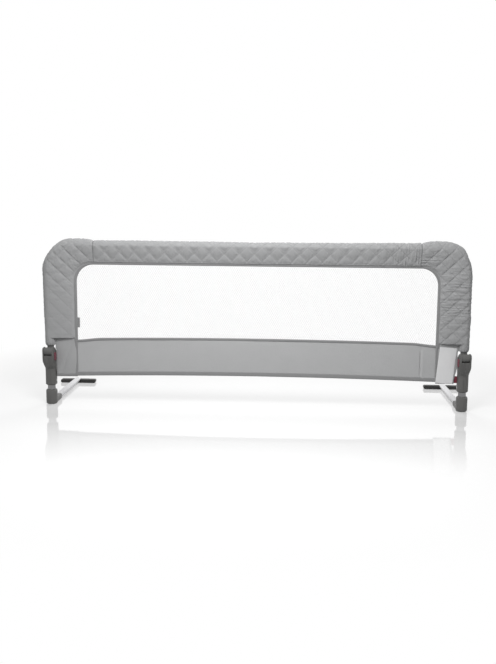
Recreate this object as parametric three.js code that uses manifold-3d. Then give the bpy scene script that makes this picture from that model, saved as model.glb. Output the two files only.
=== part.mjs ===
// Folding bed guard rail: a padded frame that swings down on two lockable side hinges.
// Millimetres. +X runs along the bed, +Y points under the mattress, +Z is up and the floor is z = 0.
// Each side is built round its own leg axis, for the right hand, and mirrored for the left.
import * as THREE from 'three';
import { mergeVertices } from 'three/addons/utils/BufferGeometryUtils.js';
import Module from 'manifold-3d';

const wasm = await Module();
wasm.setup();

// Driving dimensions of the whole rail
const legSpacing = 1170; // between the two leg axes; the frame's uprights stand in line with the legs
const railHeight = 470; // floor to the top of the quilted border
const armReach = 306; // leg axis to the back of the foot bars
const clearance = 0.3; // between any two pieces that touch or slide
const overrun = 5; // how far a cutting tool runs past the faces that it cuts
const lap = 1; // how far two joined forms run into each other

// Swinging frame
const frameTubeRadius = 9.5;
const frameTubeWall = 1.2;
const bendRadius = 62; // centre line of the top corners
const swagedLength = 42; // reduced tube end that slides into its neighbour
const topTubeHalf = 300; // middle of the rail to the joint with a corner tube
const snapPinRadius = 3;
const snapPinInset = 20; // from the joint to the snap pin

// Quilted border
const padThickness = 5.5; // wadding and cloth over the tube
const sideBorder = 92; // outer edge of the cover to the window, at the sides
const topBorder = 66; // and at the top
const borderEdge = 5; // half of the border's thickness beside the window
const windowCorner = 50; // radius of the window's upper corners
const quiltPitch = 40; // length of one quilted diamond
const quiltDepth = 1.8; // how far a diamond stands above its seams
const borderFootRise = 36; // lower edge of the border beside the window, above the pivot
const seamInset = 128; // upright axis to the seam in the top border
const sleeveOverlap = 4.5; // how far the sleeves hang down past the top of the knuckles' collars
const sleeveGather = 1.2; // how much tighter the sleeve is drawn in, twice that at its end

// Window, piping and lower panel
const pipingRadius = 2.2;
const netThickness = 0.9;
const netOpenings = [12, 3]; // across and upwards: a plain grid that stands for the fine mesh
const netCord = 6; // between two openings
const crownRise = 43; // the window's lower edge in the middle, above the pivot and the fold
const shoulderRise = 37; // and where it starts to drop into the corners
const cornerRise = 30.5; // and at the corners
const archInset = 53; // length of the drop at each end
const panelThickness = 3;
const hemCrown = 88; // height of the hem in the middle
const hemEnd = 81; // and at the ends of the panel
const hemBand = 12; // height of the hem's binding
const hemThickness = 4.4;
const flapEdgeTop = 17.5; // leg axis to the free edge of an end flap, at the border
const flapEdgeFoot = 26; // and at the hem
const flapHem = 78; // height of the end flaps' hem
const foldGap = 1; // between the cloth that swings and the cloth that stays
const labelWidth = 47;
const labelDrop = 10.5; // the border's lower edge down to the label's top
const labelThickness = 0.8;
const labelInset = 1.5; // from the flap's free edge
const labelFoot = 1.5; // above the flap's hem
const tabLength = 28;
const tabReach = 6;
const tabThickness = 2.2;
const tabRise = 36.5; // above the window's lower corners

// Hinge casing
const casingWidth = 32; // round body over the leg
const casingFoot = 55.5; // height of the casing's lower end
const casingChamfer = 3;
const headOut = 17; // leg axis to the outer face of the head
const headIn = 16.6; // leg axis to the inner face of the head
const headDrop = 52; // pivot down to where the body starts to widen
const shoulderDrop = 28; // and to where it reaches its full width
const taperDrop = 62; // and to where the front starts to lean out towards the pivot
const cheekRadius = 12.5;
const outerCheek = 5.7;
const pivotHeight = 156;
const pivotForward = 24; // pivot axis in front of the upright's axis
const pivotPinRadius = 3;
const pivotHeadRadius = 5;
const pivotHeadHeight = 1.6;
const backStep = 12; // height of the head's back edge under the pivot
const edgeRound = 5; // rounding of the head's top edges
const splitHalf = 0.15; // half of the joint line between the casing halves
const bodySquareness = 2.2; // 2 is round, and larger is squarer
const headSquareness = 5;

// Knuckle between the cheeks
const knuckleWidth = 22;
const barrelRadius = 11.2;
const blockRise = 6.5; // top of the block behind the barrel, above the pivot
const blockBevel = 2.5;
const collarRise = 11.5; // top of the knuckle's collar, where the tube sits, above its block
const spigotLength = 38;
const rivetRadius = 2;
const rivetRise = 20; // rivet above the collar
const lockRadius = 7.6; // lock pin from the pivot axis
const lockAngle = -75; // degrees, seen along the rail from the right
const lockPinRadius = 1.6;
const lockReach = 4; // lock pin inside the knuckle at rest
const swingRange = 180; // degrees

// Release button and its spring
const buttonDepth = 16; // along Y
const buttonDrop = 26; // pivot down to the button's lower edge
const buttonHeight = 22;
const buttonProud = 2;
const buttonPlate = 1.8; // part of the button inside the casing
const buttonTravel = 2;
const buttonBack = 8.5; // leg axis plane to the button's back edge, towards the front
const buttonRound = 3;
const springRadius = 2.8; // centre line of the coil
const springWire = 0.45;
const springTurns = 6;
const springLength = 17;
const springSeat = 1.2; // depth of the spring's seat in the button
const lockPinSeat = 2.4; // length of the lock pin inside the button
const springRise = 7; // spring axis above the button's lower edge

// Leg, foot, arm and foot bar
const legTubeRadius = 11;
const legTubeWall = 1.3;
const legTubeDrop = 38; // pivot down to the top of the leg tube
const footRadius = 16;
const footHeight = 43;
const footRound = 5;
const socketFloor = 17; // height of the floor under the leg tube
const armWidth = 20;
const armHeight = 11;
const armWall = 1.2;
const armSideFlat = 0.3; // short upright flat between the arm's round edges
const armLift = 2.5; // underside of the arm above the floor
const armNeck = 0.5; // how far the arm is drawn in where it sits in its socket
const socketReach = 62; // leg axis to the mouth of the arm's socket
const socketWall = 2;
const armInset = 6; // how far the arm runs in past the leg axis
const barLength = 111;
const barShift = 4.5; // how far a bar's middle lies inwards of its arm
const barDepth = 20;
const barHeight = 10.5;
const barRound = 4;
const barRearWall = 3;
const barRivetRadius = 1.8;
const barRivetHead = 3.4;
const barRivetHeadHeight = 1.2;
const barRivetLength = 4.5;

// Casing screws and corner straps
const screwRadius = 2;
const screwHeadRadius = 3.6;
const screwHeadHeight = 2.2;
const screwTipDepth = 5; // wall left over the screw's tip
const upperScrewDrop = 30; // below the pivot
const upperScrewBack = 5;
const lowerScrewHeight = 68;
const strapWidth = 20;
const strapThickness = 1.6;
const strapOverlap = 12; // sewn length on the flap
const strapInsert = 3.6; // length inside the casing's slot
const strapPlaceShare = 0.27; // of the free height between the casing screws

// Facets
const roundSides = 24;
const tubeSides = 16;
const smallSides = 12;
const pipeSides = 8;
const bendSteps = 6; // the tube, the border, the piping and the net all turn in these steps
const arcSegments = bendSteps / 2; // three.js gives an arc twice the segments that it is asked for
const coilSides = 5;
const coilSteps = 8;
const footRoundSteps = 4;

// Derived places that several pieces share
const legHalf = legSpacing / 2;
const sleeveRadius = frameTubeRadius + padThickness;
const railAxisHeight = railHeight - sleeveRadius;
const neckHeight = pivotHeight + blockRise + collarRise;
const sleeveEnd = neckHeight - sleeveOverlap;
const bendStart = railAxisHeight - bendRadius;
const windowSide = sleeveRadius - sideBorder; // from the leg axis
const windowTop = railHeight - topBorder;
const windowHalf = legHalf + windowSide;
const headTop = pivotHeight + cheekRadius;
const deckHeight = pivotHeight - barrelRadius - clearance;
const headFoot = pivotHeight - headDrop;
const headShoulder = pivotHeight - shoulderDrop;
const frontTaper = pivotHeight - taperDrop;
const archCrown = pivotHeight + crownRise;
const archShoulder = pivotHeight + shoulderRise;
const archEnd = pivotHeight + cornerRise;
const borderFoot = pivotHeight + borderFootRise;
const tabHeight = archEnd + tabRise;
const upperScrewHeight = pivotHeight - upperScrewDrop;
const strapRoom = upperScrewHeight - lowerScrewHeight - 2 * screwHeadRadius - strapWidth;
const strapRise = lowerScrewHeight + screwHeadRadius + strapPlaceShare * strapRoom;
const buttonBottom = pivotHeight - buttonDrop;
const legTubeTop = pivotHeight - legTubeDrop;
const cheekGapIn = -knuckleWidth / 2 - clearance;
const cheekGapOut = knuckleWidth / 2 + clearance;
const armAxisHeight = armLift + armHeight / 2;
const buttonMiddle = -buttonBack - buttonDepth / 2;
const springHeight = buttonBottom + springRise;
const buttonInnerFace = -headIn + buttonPlate - clearance;
const springStart = buttonInnerFace - springSeat;
const strapFront = panelThickness / 2 + clearance;
const strapMouth = -Math.sqrt((casingWidth / 2) ** 2 - strapFront ** 2);
const degree = Math.PI / 180;

const paint = (color, roughness, metalness = 0, opacity = 1) =>
  new THREE.MeshStandardMaterial({ color, roughness, metalness, opacity, transparent: opacity < 1 });
const casingPlastic = paint(0x5c5a57, 0.6);
const barPlastic = paint(0x2c2c2e, 0.55);
const redPlastic = paint(0x8a2733, 0.5);
const redWebbing = paint(0x7c2b3a, 0.9);
const frameSteel = paint(0x9a9a9c, 0.35, 0.9);
const armSteel = paint(0xdcdcdc, 0.3, 0.6);
const fastenerSteel = paint(0x77787a, 0.4, 1);
const quiltCloth = paint(0x999999, 0.9);
const panelCloth = paint(0xa0a0a0, 0.9);
const trimCloth = paint(0x767676, 0.9);
const netCloth = paint(0xf4f4f4, 0.8, 0, 0.3);
const labelCloth = paint(0xcfcfcf, 0.8);

// Solids: joining and cutting closed meshes

// A copy with its shared corners merged, and nothing but places left
function bareOf(geometry) {
  const bare = geometry.clone();
  for (const name of Object.keys(bare.attributes)) {
    if (name !== 'position') bare.deleteAttribute(name);
  }
  return mergeVertices(bare, 1e-4);
}

function solidOf(geometry) {
  const merged = bareOf(geometry);
  const vertProperties = new Float32Array(merged.attributes.position.array);
  const triVerts = new Uint32Array(merged.index.array);
  return new wasm.Manifold(new wasm.Mesh({ numProp: 3, vertProperties, triVerts }));
}

function geometryOf(solid) {
  const mesh = solid.getMesh();
  const geometry = new THREE.BufferGeometry();
  geometry.setAttribute('position', new THREE.BufferAttribute(new Float32Array(mesh.vertProperties), 3));
  geometry.setIndex(new THREE.BufferAttribute(new Uint32Array(mesh.triVerts), 1));
  geometry.computeVertexNormals();
  return geometry;
}

const cut = (body, ...tools) =>
  geometryOf(tools.reduce((left, tool) => left.subtract(solidOf(tool)), solidOf(body)));
const join = (body, ...others) =>
  geometryOf(others.reduce((sum, other) => sum.add(solidOf(other)), solidOf(body)));
const common = (body, other) => geometryOf(solidOf(body).intersect(solidOf(other)));

function signedVolume(geometry) {
  const p = geometry.attributes.position;
  const index = geometry.index;
  const [a, b, c] = [new THREE.Vector3(), new THREE.Vector3(), new THREE.Vector3()];
  let sum = 0;
  for (let i = 0; i < index.count; i += 3) {
    a.fromBufferAttribute(p, index.getX(i));
    b.fromBufferAttribute(p, index.getX(i + 1));
    c.fromBufferAttribute(p, index.getX(i + 2));
    sum += a.dot(b.cross(c));
  }
  return sum;
}

function flipped(geometry) {
  const index = geometry.index;
  for (let i = 0; i < index.count; i += 3) {
    const second = index.getX(i + 1);
    index.setX(i + 1, index.getX(i + 2));
    index.setX(i + 2, second);
  }
  geometry.computeVertexNormals();
  return geometry;
}

const outward = (geometry) => (signedVolume(geometry) < 0 ? flipped(geometry) : geometry);

const mirrored = (geometry) => flipped(bareOf(geometry).scale(-1, 1, 1));

// Basic forms

function box(x0, x1, y0, y1, z0, z1) {
  const form = new THREE.BoxGeometry(x1 - x0, y1 - y0, z1 - z0);
  return form.translate((x0 + x1) / 2, (y0 + y1) / 2, (z0 + z1) / 2);
}

function rodAlongX(radius, x0, x1, y, z, sides = roundSides) {
  const form = new THREE.CylinderGeometry(radius, radius, x1 - x0, sides);
  return form.rotateZ(-Math.PI / 2).translate((x0 + x1) / 2, y, z);
}

function rodAlongY(radius, y0, y1, x, z, sides = roundSides) {
  const form = new THREE.CylinderGeometry(radius, radius, y1 - y0, sides);
  return form.translate(x, (y0 + y1) / 2, z);
}

function rodAlongZ(radius, z0, z1, x, y, sides = roundSides) {
  const form = new THREE.CylinderGeometry(radius, radius, z1 - z0, sides);
  return form.rotateX(Math.PI / 2).translate(x, y, (z0 + z1) / 2);
}

// A side view, drawn as (y, z), given its width along X
function slabAlongX(shape, x0, x1, curveSegments = arcSegments) {
  const form = new THREE.ExtrudeGeometry(shape, { depth: x1 - x0, bevelEnabled: false, curveSegments });
  const axes = new THREE.Matrix4().makeBasis(
    new THREE.Vector3(0, 1, 0), new THREE.Vector3(0, 0, 1), new THREE.Vector3(1, 0, 0));
  return form.applyMatrix4(axes).translate(x0, 0, 0);
}

// A front view, drawn as (x, z), given its depth along Y
function slabAlongY(shape, y0, y1, curveSegments = arcSegments) {
  const form = new THREE.ExtrudeGeometry(shape, { depth: y1 - y0, bevelEnabled: false, curveSegments });
  return form.rotateX(Math.PI / 2).translate(0, y1, 0);
}

function polygon(points) {
  return new THREE.Shape(points.map(([u, v]) => new THREE.Vector2(u, v)));
}

// A rectangle with round corners, centred on (u, v)
function roundedRectangle(width, height, radius, u = 0, v = 0) {
  const [a, b] = [width / 2 - radius, height / 2 - radius];
  const shape = new THREE.Shape();
  shape.absarc(u + a, v - b, radius, -Math.PI / 2, 0);
  shape.absarc(u + a, v + b, radius, 0, Math.PI / 2);
  shape.absarc(u - a, v + b, radius, Math.PI / 2, Math.PI);
  shape.absarc(u - a, v - b, radius, Math.PI, 1.5 * Math.PI);
  shape.closePath();
  return shape;
}

function meshFrom(points, triangles) {
  const geometry = new THREE.BufferGeometry();
  geometry.setAttribute('position', new THREE.Float32BufferAttribute(points.flatMap((p) => p.toArray()), 3));
  geometry.setIndex(triangles);
  geometry.computeVertexNormals();
  return outward(geometry);
}

// Quads between two neighbouring rings whose first points are a and b
function bandBetween(a, b, count) {
  const triangles = [];
  for (let k = 0; k < count; k++) {
    const next = (k + 1) % count;
    triangles.push(a + k, a + next, b + next, a + k, b + next, b + k);
  }
  return triangles;
}

// A solid through a row of rings, closed at both ends
function loft(rings) {
  const count = rings[0].length;
  const points = rings.flat();
  const triangles = [];
  for (let i = 0; i + 1 < rings.length; i++) {
    triangles.push(...bandBetween(i * count, (i + 1) * count, count));
  }
  const last = (rings.length - 1) * count;
  for (let k = 1; k + 1 < count; k++) {
    triangles.push(0, k + 1, k, last, last + k, last + k + 1);
  }
  return meshFrom(points, triangles);
}

// A tube wall: outer rings, inner rings, and a face between them at each end
function shell(outerRings, innerRings) {
  const count = outerRings[0].length;
  const outerSize = outerRings.length * count;
  const lastOuter = outerSize - count;
  const lastInner = outerSize + (innerRings.length - 1) * count;
  const triangles = [];
  for (let i = 0; i + 1 < outerRings.length; i++) {
    triangles.push(...bandBetween(i * count, (i + 1) * count, count));
  }
  for (let i = 0; i + 1 < innerRings.length; i++) {
    triangles.push(...bandBetween(outerSize + (i + 1) * count, outerSize + i * count, count));
  }
  triangles.push(...bandBetween(outerSize, 0, count));
  triangles.push(...bandBetween(lastOuter, lastInner, count));
  return meshFrom([...outerRings.flat(), ...innerRings.flat()], triangles);
}

const lerp = THREE.MathUtils.lerp;
const shares = (count) => Array.from({ length: count + 1 }, (_, i) => i / count);

// The swinging frame's route, from the knuckle up and round to the top

// Stations on the upright: place of the tube's axis, and its outward direction (out, up)
function straightUp(z0, z1, steps) {
  return shares(steps).map((t) => ({ x: 0, z: lerp(z0, z1, t), out: 1, up: 0 }));
}

function roundBend(steps) {
  return shares(steps).map((t) => {
    const [out, up] = [Math.cos(t * Math.PI / 2), Math.sin(t * Math.PI / 2)];
    return { x: bendRadius * (out - 1), z: bendStart + bendRadius * up, out, up };
  });
}

function straightAcross(x0, x1, steps) {
  return shares(steps).map((t) => ({ x: lerp(x0, x1, t), z: railAxisHeight, out: 0, up: 1 }));
}

// A circle round a station, in the plane across the tube
function circleAt(station, radius, angles) {
  return angles.map((angle) => {
    const reach = radius * Math.cos(angle);
    return new THREE.Vector3(station.x + station.out * reach, radius * Math.sin(angle),
      station.z + station.up * reach);
  });
}

const evenAngles = (count) => Array.from({ length: count }, (_, k) => 2 * Math.PI * k / count);

// Hinge casing: two moulded halves round the leg, with cheeks either side of the knuckle

// One level of the casing: a rounded rectangle between its four sides
function casingRing(z, xIn, xOut, yFront, yBack, squareness) {
  return evenAngles(roundSides).map((angle) => {
    const [c, s] = [Math.cos(angle), Math.sin(angle)];
    const bulge = (value) => Math.sign(value) * Math.abs(value) ** (2 / squareness);
    return new THREE.Vector3((xOut + xIn) / 2 + (xOut - xIn) / 2 * bulge(c),
      (yBack + yFront) / 2 + (yBack - yFront) / 2 * bulge(s), z);
  });
}

function casingLoft() {
  const half = casingWidth / 2;
  const nose = -pivotForward - cheekRadius - clearance;
  const body = (z, inset) =>
    casingRing(z, inset - half, half - inset, inset - half, half - inset, bodySquareness);
  const head = (z, inset) => casingRing(z, inset - headIn, headOut - inset, nose, half, headSquareness);
  return loft([
    body(casingFoot, casingChamfer),
    body(casingFoot + casingChamfer, 0),
    body(frontTaper, 0),
    casingRing(headFoot, -half, half, -half - clearance, half, bodySquareness),
    head(headShoulder, 0),
    head(headTop - edgeRound, 0),
    head(headTop - edgeRound / 3, edgeRound / 3),
    head(headTop + clearance, edgeRound),
  ]);
}

// The casing's outline from the side: a round nose about the pivot, running down into the body
function casingSide() {
  const half = casingWidth / 2;
  const [centreY, centreZ] = [-pivotForward, pivotHeight];
  const tangent = (y, z, turn) => {
    const [dy, dz] = [y - centreY, z - centreZ];
    return Math.atan2(dz, dy) + turn * Math.acos(cheekRadius / Math.hypot(dy, dz));
  };
  const backEdge = pivotHeight - backStep;
  const shape = new THREE.Shape();
  shape.moveTo(-half - clearance, casingFoot - overrun);
  shape.lineTo(half + clearance, casingFoot - overrun);
  shape.lineTo(half + clearance, backEdge);
  shape.absarc(centreY, centreZ, cheekRadius, tangent(half, backEdge, 1),
    2 * Math.PI + tangent(-half - clearance, frontTaper, -1));
  shape.lineTo(-half - clearance, frontTaper);
  shape.closePath();
  return slabAlongX(shape, -headIn - overrun, headOut + overrun, smallSides);
}

const lockPlace = {
  y: -pivotForward + lockRadius * Math.cos(lockAngle * degree),
  z: pivotHeight + lockRadius * Math.sin(lockAngle * degree),
};

function buttonShape(grow) {
  return roundedRectangle(buttonDepth + 2 * grow, buttonHeight + 2 * grow, buttonRound + grow,
    buttonMiddle, buttonBottom + buttonHeight / 2);
}

// Everything that the two halves leave room for
function casingCuts() {
  const past = headOut + overrun;
  const pinSeat = headOut - pivotHeadHeight - clearance;
  const springHole = springRadius + springWire + clearance;
  return [
    rodAlongZ(legTubeRadius + clearance, casingFoot - overrun, legTubeTop + clearance, 0, 0),
    box(cheekGapIn, cheekGapOut, -pivotForward - 2 * cheekRadius, casingWidth, deckHeight,
      headTop + overrun),
    rodAlongX(pivotPinRadius + clearance, -headIn + outerCheek / 2, past, -pivotForward, pivotHeight,
      smallSides),
    rodAlongX(pivotHeadRadius + clearance, pinSeat, past, -pivotForward, pivotHeight, smallSides),
    slabAlongX(buttonShape(clearance), -headIn - overrun, buttonInnerFace + buttonTravel + 2 * clearance),
    rodAlongX(springHole, buttonInnerFace, springStart + springLength + clearance, buttonMiddle,
      springHeight, smallSides),
    rodAlongX(lockPinRadius + clearance, buttonInnerFace, cheekGapIn + lap, lockPlace.y, lockPlace.z,
      smallSides),
    box(-past, strapMouth + strapInsert + clearance, strapFront - clearance,
      strapFront + strapThickness + clearance, strapRise - clearance, strapRise + strapWidth + clearance),
    ...casingScrewCuts(),
  ];
}

const screws = [
  { name: 'casing_screw_upper', y: upperScrewBack, z: upperScrewHeight, head: -headIn },
  { name: 'casing_screw_lower', y: 0, z: lowerScrewHeight, head: -casingWidth / 2 },
];
const screwTip = casingWidth / 2 - screwTipDepth;

function casingScrewCuts() {
  return screws.flatMap(({ y, z, head }) => [
    rodAlongX(screwRadius + clearance, head - overrun, screwTip + clearance, y, z, smallSides),
    rodAlongX(screwHeadRadius + clearance, head - overrun, head + screwHeadHeight + 2 * clearance, y, z,
      smallSides),
  ]);
}

function casingHalves() {
  const whole = cut(common(casingLoft(), casingSide()), ...casingCuts());
  const far = casingWidth * 2;
  const half = (x0, x1) => common(whole, box(x0, x1, -far, far, 0, railHeight));
  return { outer: half(splitHalf, far), inner: half(-far, -splitHalf) };
}

function casingScrew({ y, z, head }) {
  const start = head + clearance;
  const shank = rodAlongX(screwRadius, start, screwTip, y, z, smallSides);
  const cap = rodAlongX(screwHeadRadius, start, start + screwHeadHeight, y, z, smallSides);
  return join(shank, cap);
}

function pivotPin() {
  const start = -headIn + outerCheek / 2 + clearance;
  const headStart = headOut - pivotHeadHeight;
  const shank = rodAlongX(pivotPinRadius, start, headStart + lap, -pivotForward, pivotHeight, smallSides);
  const head = rodAlongX(pivotHeadRadius, headStart, headOut, -pivotForward, pivotHeight, smallSides);
  return join(shank, head);
}

// Knuckle: a barrel on the pivot pin, a block behind it and a spigot for the tube

// The block's outline from the side: it rests on the casing's deck behind the barrel
function knuckleBlock() {
  const back = frameTubeRadius + clearance;
  const front = -cheekRadius;
  const [bottom, top] = [pivotHeight - barrelRadius, pivotHeight + blockRise];
  return polygon([[-pivotForward, bottom], [back, bottom], [back, top - blockBevel],
    [back - blockBevel, top], [front, top], [front, pivotHeight]]);
}

// The arc that the lock pin follows in the knuckle as the rail swings down
function lockSlot() {
  const half = lockPinRadius + clearance;
  const end = lockAngle * degree;
  const start = end - swingRange * degree;
  const shape = new THREE.Shape();
  shape.absarc(-pivotForward, pivotHeight, lockRadius + half, start, end, false);
  shape.absarc(lockPlace.y, lockPlace.z, half, end, end + Math.PI, false);
  shape.absarc(-pivotForward, pivotHeight, lockRadius - half, end, start, true);
  shape.absarc(-pivotForward + lockRadius * Math.cos(start), pivotHeight + lockRadius * Math.sin(start),
    half, start + Math.PI, start + 2 * Math.PI, false);
  shape.closePath();
  const inner = -knuckleWidth / 2;
  return slabAlongX(shape, inner - overrun, inner + lockReach + buttonTravel + clearance);
}

function knuckle() {
  const [x0, x1] = [-knuckleWidth / 2, knuckleWidth / 2];
  const spigotRadius = frameTubeRadius - frameTubeWall - clearance;
  const body = join(
    slabAlongX(knuckleBlock(), x0, x1),
    rodAlongX(barrelRadius, x0, x1, -pivotForward, pivotHeight),
    rodAlongZ(frameTubeRadius, pivotHeight, neckHeight, 0, 0),
    rodAlongZ(spigotRadius, pivotHeight, neckHeight + spigotLength, 0, 0));
  return cut(body,
    rodAlongX(pivotPinRadius + clearance, x0 - overrun, x1 + overrun, -pivotForward, pivotHeight, smallSides),
    frameRivetHole(),
    lockSlot());
}

function frameRivetHole() {
  const reach = frameTubeRadius + overrun;
  return rodAlongY(rivetRadius + clearance, -reach, reach, 0, neckHeight + rivetRise, smallSides);
}

function frameRivet() {
  const reach = frameTubeRadius - clearance / 2;
  return rodAlongY(rivetRadius, -reach, reach, 0, neckHeight + rivetRise, smallSides);
}

// Release button, the lock pin that it carries, and the spring behind it

function releaseButton() {
  const plate = slabAlongX(buttonShape(0), -headIn - buttonProud, buttonInnerFace, smallSides / 2);
  const past = buttonInnerFace + overrun;
  const springSeatCut = rodAlongX(springRadius + springWire + clearance, springStart, past, buttonMiddle,
    springHeight, smallSides);
  const pinSeatCut = rodAlongX(lockPinRadius + clearance, buttonInnerFace - lockPinSeat, past, lockPlace.y,
    lockPlace.z, smallSides);
  return cut(plate, springSeatCut, pinSeatCut);
}

function lockPin() {
  const end = lockReach - knuckleWidth / 2;
  return rodAlongX(lockPinRadius, buttonInnerFace - lockPinSeat + clearance, end, lockPlace.y, lockPlace.z,
    smallSides);
}

function buttonSpring() {
  const steps = springTurns * coilSteps;
  const from = springStart + clearance + springWire;
  const run = springLength - clearance - 2 * springWire;
  const rings = shares(steps).map((t) => {
    const angle = 2 * Math.PI * springTurns * t;
    const x = from + run * t;
    return evenAngles(coilSides).map((a) => {
      const reach = springRadius + springWire * Math.cos(a);
      return new THREE.Vector3(x + springWire * Math.sin(a), buttonMiddle + reach * Math.cos(angle),
        springHeight + reach * Math.sin(angle));
    });
  });
  return loft(rings);
}

// Leg, foot, arm and foot bar

function legTube() {
  const bottom = socketFloor + clearance;
  const wall = cut(rodAlongZ(legTubeRadius, bottom, legTubeTop, 0, 0),
    rodAlongZ(legTubeRadius - legTubeWall, bottom - overrun, legTubeTop + overrun, 0, 0));
  const screwHole = rodAlongX(screwRadius + clearance, -casingWidth, casingWidth, 0, lowerScrewHeight,
    smallSides);
  return cut(wall, screwHole);
}

const armShape = (grow) => roundedRectangle(armWidth + 2 * grow, armHeight + 2 * grow,
  (armHeight - armSideFlat) / 2 + grow, 0, armAxisHeight);

function footElbow() {
  const rounding = (centreZ, from) => shares(footRoundSteps).map((t) => {
    const angle = (from + 90 * t) * degree;
    return new THREE.Vector2(footRadius - footRound + footRound * Math.cos(angle),
      centreZ + footRound * Math.sin(angle));
  });
  const profile = [new THREE.Vector2(0, 0), ...rounding(footRound, -90),
    ...rounding(footHeight - footRound, 0), new THREE.Vector2(0, footHeight)];
  const cup = new THREE.LatheGeometry(profile, roundSides).rotateX(Math.PI / 2);
  const socketHeight = armHeight + 2 * socketWall + 2 * clearance;
  const socketShape = roundedRectangle(armWidth + 2 * (socketWall + clearance),
    armAxisHeight + socketHeight / 2, socketWall * 2, 0, (armAxisHeight + socketHeight / 2) / 2);
  return cut(join(cup, slabAlongY(socketShape, 0, socketReach)),
    rodAlongZ(legTubeRadius + clearance, socketFloor, footHeight + overrun, 0, 0),
    slabAlongY(armShape(clearance - armNeck), -armInset - clearance, socketReach + overrun));
}

const barRivetPlace = armReach - barDepth / 2;

function armTube() {
  const end = armReach - barRearWall - clearance;
  const shoulder = socketReach + clearance;
  const outside = join(slabAlongY(armShape(0), shoulder, end),
    slabAlongY(armShape(-armNeck), -armInset, shoulder + lap));
  const wall = cut(outside, slabAlongY(armShape(-armWall), -armInset - overrun, end + overrun));
  return cut(wall, rodAlongZ(barRivetRadius + clearance, 0, armAxisHeight, 0, barRivetPlace, smallSides));
}

function footBar() {
  const shape = roundedRectangle(barLength, barHeight, barRound, -barShift, barHeight / 2);
  const channel = box(-armWidth / 2 - clearance, armWidth / 2 + clearance, armReach - barDepth - overrun,
    armReach - barRearWall, armLift - clearance, barHeight + overrun);
  return cut(slabAlongY(shape, armReach - barDepth, armReach), channel,
    rodAlongZ(barRivetRadius + clearance, -overrun, armAxisHeight, 0, barRivetPlace, smallSides),
    rodAlongZ(barRivetHead + clearance, -overrun, barRivetHeadHeight + clearance, 0, barRivetPlace,
      smallSides));
}

function barRivet() {
  return join(
    rodAlongZ(barRivetHead, clearance, barRivetHeadHeight, 0, barRivetPlace, smallSides),
    rodAlongZ(barRivetRadius, clearance, barRivetLength, 0, barRivetPlace, smallSides));
}

// Swinging frame tubes

function cornerTube() {
  const joint = topTubeHalf - legHalf;
  const route = [...straightUp(neckHeight + clearance, bendStart, 1), ...roundBend(bendSteps).slice(1),
    ...straightAcross(-bendRadius, joint, 1).slice(1)];
  const rings = (radius) => route.map((station) => circleAt(station, radius, evenAngles(tubeSides)));
  const wall = shell(rings(frameTubeRadius), rings(frameTubeRadius - frameTubeWall));
  return cut(wall,
    frameRivetHole(),
    snapPinHole(joint + snapPinInset));
}

function snapPinHole(x) {
  return rodAlongY(snapPinRadius + clearance, 0, frameTubeRadius + overrun, x, railAxisHeight, smallSides);
}

function snapPin() {
  const reach = frameTubeRadius - clearance / 2;
  const start = reach - 2 * snapPinRadius;
  return rodAlongY(snapPinRadius, start, reach, topTubeHalf - legHalf + snapPinInset, railAxisHeight,
    smallSides);
}

// Middle tube with a swaged end each way, drilled for the snap pins
function topTube() {
  const [outer, swaged] = [frameTubeRadius, frameTubeRadius - frameTubeWall - clearance];
  const end = topTubeHalf + swagedLength;
  const body = topTubeHalf - clearance;
  const profile = [[swaged, -end], [swaged, -topTubeHalf], [outer, -body], [outer, body],
    [swaged, topTubeHalf], [swaged, end], [swaged - frameTubeWall, end],
    [swaged - frameTubeWall, -end], [swaged, -end]].map(([r, x]) => new THREE.Vector2(r, x));
  const tube = new THREE.LatheGeometry(profile, tubeSides).rotateZ(-Math.PI / 2);
  tube.translate(0, 0, railAxisHeight);
  const drilled = topTubeHalf + snapPinInset;
  return cut(outward(bareOf(tube)), snapPinHole(drilled), snapPinHole(-drilled));
}

// Quilted border: a padded sleeve round the tube that thins towards the window

const noseSides = 6; // round the outer edge, where the border wraps the tube
const noseAngles = shares(noseSides).map((t) => (t - 0.5) * Math.PI);
const borderStationShares = [0.22, 0.5, 0.78];
const boreBackPoints = 2 * borderStationShares.length + 2;
const boreAngles = [...noseAngles,
  ...shares(boreBackPoints + 1).slice(1, -1).map((t) => (t + 0.5) * Math.PI)];
const boreRadius = (frameTubeRadius + clearance) / Math.cos(Math.PI / (2 * noseSides));
const borderGap = pipingRadius + clearance;

// A closed ring of the border's skin. The row number i sets which diamonds are raised.
function borderRing(station, edge, i) {
  const puff = (j) => ((i + j) % 2 === 0 ? quiltDepth : 0);
  const nose = noseAngles.map((angle, j) => {
    const radius = sleeveRadius - quiltDepth + puff(j);
    const reach = radius * Math.cos(angle);
    return new THREE.Vector3(station.x + station.out * reach, radius * Math.sin(angle),
      station.z + station.up * reach);
  });
  const half = (t) => borderEdge + (sleeveRadius - quiltDepth - borderEdge) * (1 - t ** 1.5);
  const between = (t, y) =>
    new THREE.Vector3(lerp(station.x, edge.x, t), y, lerp(station.z, edge.z, t));
  const back = borderStationShares.map((t, j) => between(t, half(t) + puff(j + 1)));
  const front = borderStationShares.map((t, j) => between(t, -half(t) - puff(j + 1))).reverse();
  return [...nose, ...back, between(1, borderEdge), between(1, -borderEdge), ...front];
}

const boreRing = (station) => circleAt(station, boreRadius, boreAngles);

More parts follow.
